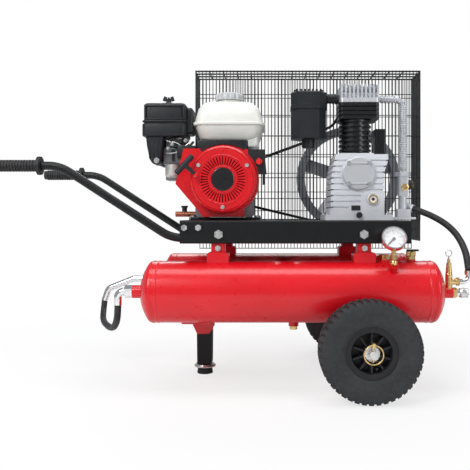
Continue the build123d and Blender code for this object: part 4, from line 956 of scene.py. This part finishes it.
# ---------------------------------------------------------------- tanks and gauge
def weld_beads():
    """The two round seams of each tank, laid in small ripples."""
    form = bmesh.new()
    steps, rows, inset, half_width = 240, 5, 0.05, 0.0032
    for tank in ("right_tank", "left_tank"):
        low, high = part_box(tank)
        middle = middle_of(tank)
        for x in (low.x + inset, high.x - inset):
            centre = Vector((x, middle.y, middle.z))
            rings = []
            for step in range(steps):
                angle = 2 * math.pi * step / steps
                ripple = 0.00022 * math.sin(step * math.pi / 2) + 0.0001 * math.sin(step * 0.37)
                outward = Vector((0, math.cos(angle), math.sin(angle)))
                ring = []
                for row in range(rows):
                    share = row / (rows - 1)
                    across = Vector((half_width * (share * 2 - 1), 0, 0))
                    radius = 0.0797 + (0.0011 + ripple) * math.sin(math.pi * share)
                    ring.append(form.verts.new(centre + across + outward * radius))
                rings.append(ring)
            for ring, after in zip(rings, rings[1:] + rings[:1]):
                for row in range(rows - 1):
                    form.faces.new((ring[row], ring[row + 1], after[row + 1], after[row]))
    piece("tank_welds", to_mesh("tank_welds", form), "tank_red", smooth=70)


def gauge_print():
    """Scale marks, plain numbers and a red limit band on the pressure dial."""
    tilt = math.radians(30)
    face = Vector((0, -math.cos(tilt), math.sin(tilt)))
    up = Vector((0, math.sin(tilt), math.cos(tilt)))
    plane = Matrix(((1, 0, 0), up, face)).transposed().to_4x4()
    plane.translation = mm(408, -243, 395) - face * 0.0059
    first, sweep, limit = math.radians(225), math.radians(270), math.radians(67.5)

    def patch(form, *corners):
        """A flat patch of print on the dial."""
        form.faces.new([form.verts.new(plane @ corner) for corner in corners])

    form = bmesh.new()
    marks, numbers, outer = 40, ("0", "4", "8", "12", "16"), 0.0255
    for mark in range(marks + 1):
        inner, width = (0.0205, 0.0005) if mark % 5 == 0 else (0.0228, 0.00025)
        outward = on_circle(1, first - sweep * mark / marks)
        across = Vector((-outward.y, outward.x, 0)) * width
        patch(form, outward * inner - across, outward * inner + across, outward * outer + across,
              outward * outer - across)
    for index, number in enumerate(numbers):
        text = bpy.data.curves.new("number", "FONT")
        text.body = number
        text.size = 0.0062
        text.align_x = text.align_y = "CENTER"
        holder = bpy.data.objects.new("number", text)
        bpy.context.scene.collection.objects.link(holder)
        flat = bpy.data.meshes.new_from_object(holder)
        bpy.data.objects.remove(holder)
        place = on_circle(0.0158, first - sweep * index / (len(numbers) - 1))
        flat.transform(plane @ Matrix.Translation(place))
        form.from_mesh(flat)
    piece("dial_marks", to_mesh("dial_marks", form), "print_black", smooth=0)

    form = bmesh.new()
    steps, top, inner, outer = 16, first - sweep + limit, 0.0258, 0.0272
    for step in range(steps):
        start, end = (top - limit * share / steps for share in (step, step + 1))
        patch(form, on_circle(inner, start), on_circle(outer, start), on_circle(outer, end),
              on_circle(inner, end))
    piece("dial_limit", to_mesh("dial_limit", form), "print_red", smooth=0)


weld_beads()
gauge_print()


# ---------------------------------------------------------------- starter rope
def starter_rope():
    """Three twisted strands, a short length of rope at the cover."""
    inner, outer = mm(-88.17, -202, 551.93), mm(-93.93, -202, 557.2)
    axis = outer - inner
    turn = axis.to_track_quat("Z", "Y").to_matrix()
    strands, rings, turns, lay, strand_radius = 3, 120, 1.5, 0.0009, 0.0011
    form = bmesh.new()
    for strand in range(strands):
        points = []
        for ring in range(rings + 1):
            share = ring / rings
            angle = 2 * math.pi * (strand / strands + share * turns)
            points.append(inner + axis * share + turn @ on_circle(lay, angle))
        add_pipe(form, points, strand_radius)
    mesh = to_mesh("rope_strands", form)
    mesh.polygons.foreach_set("use_smooth", [True] * len(mesh.polygons))
    made = bpy.data.objects.new("rope_strands", mesh)
    bpy.context.scene.collection.objects.link(made)
    mesh.materials.append(FINISH["rope"])
    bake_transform(made)
    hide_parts("starter_rope")


starter_rope()
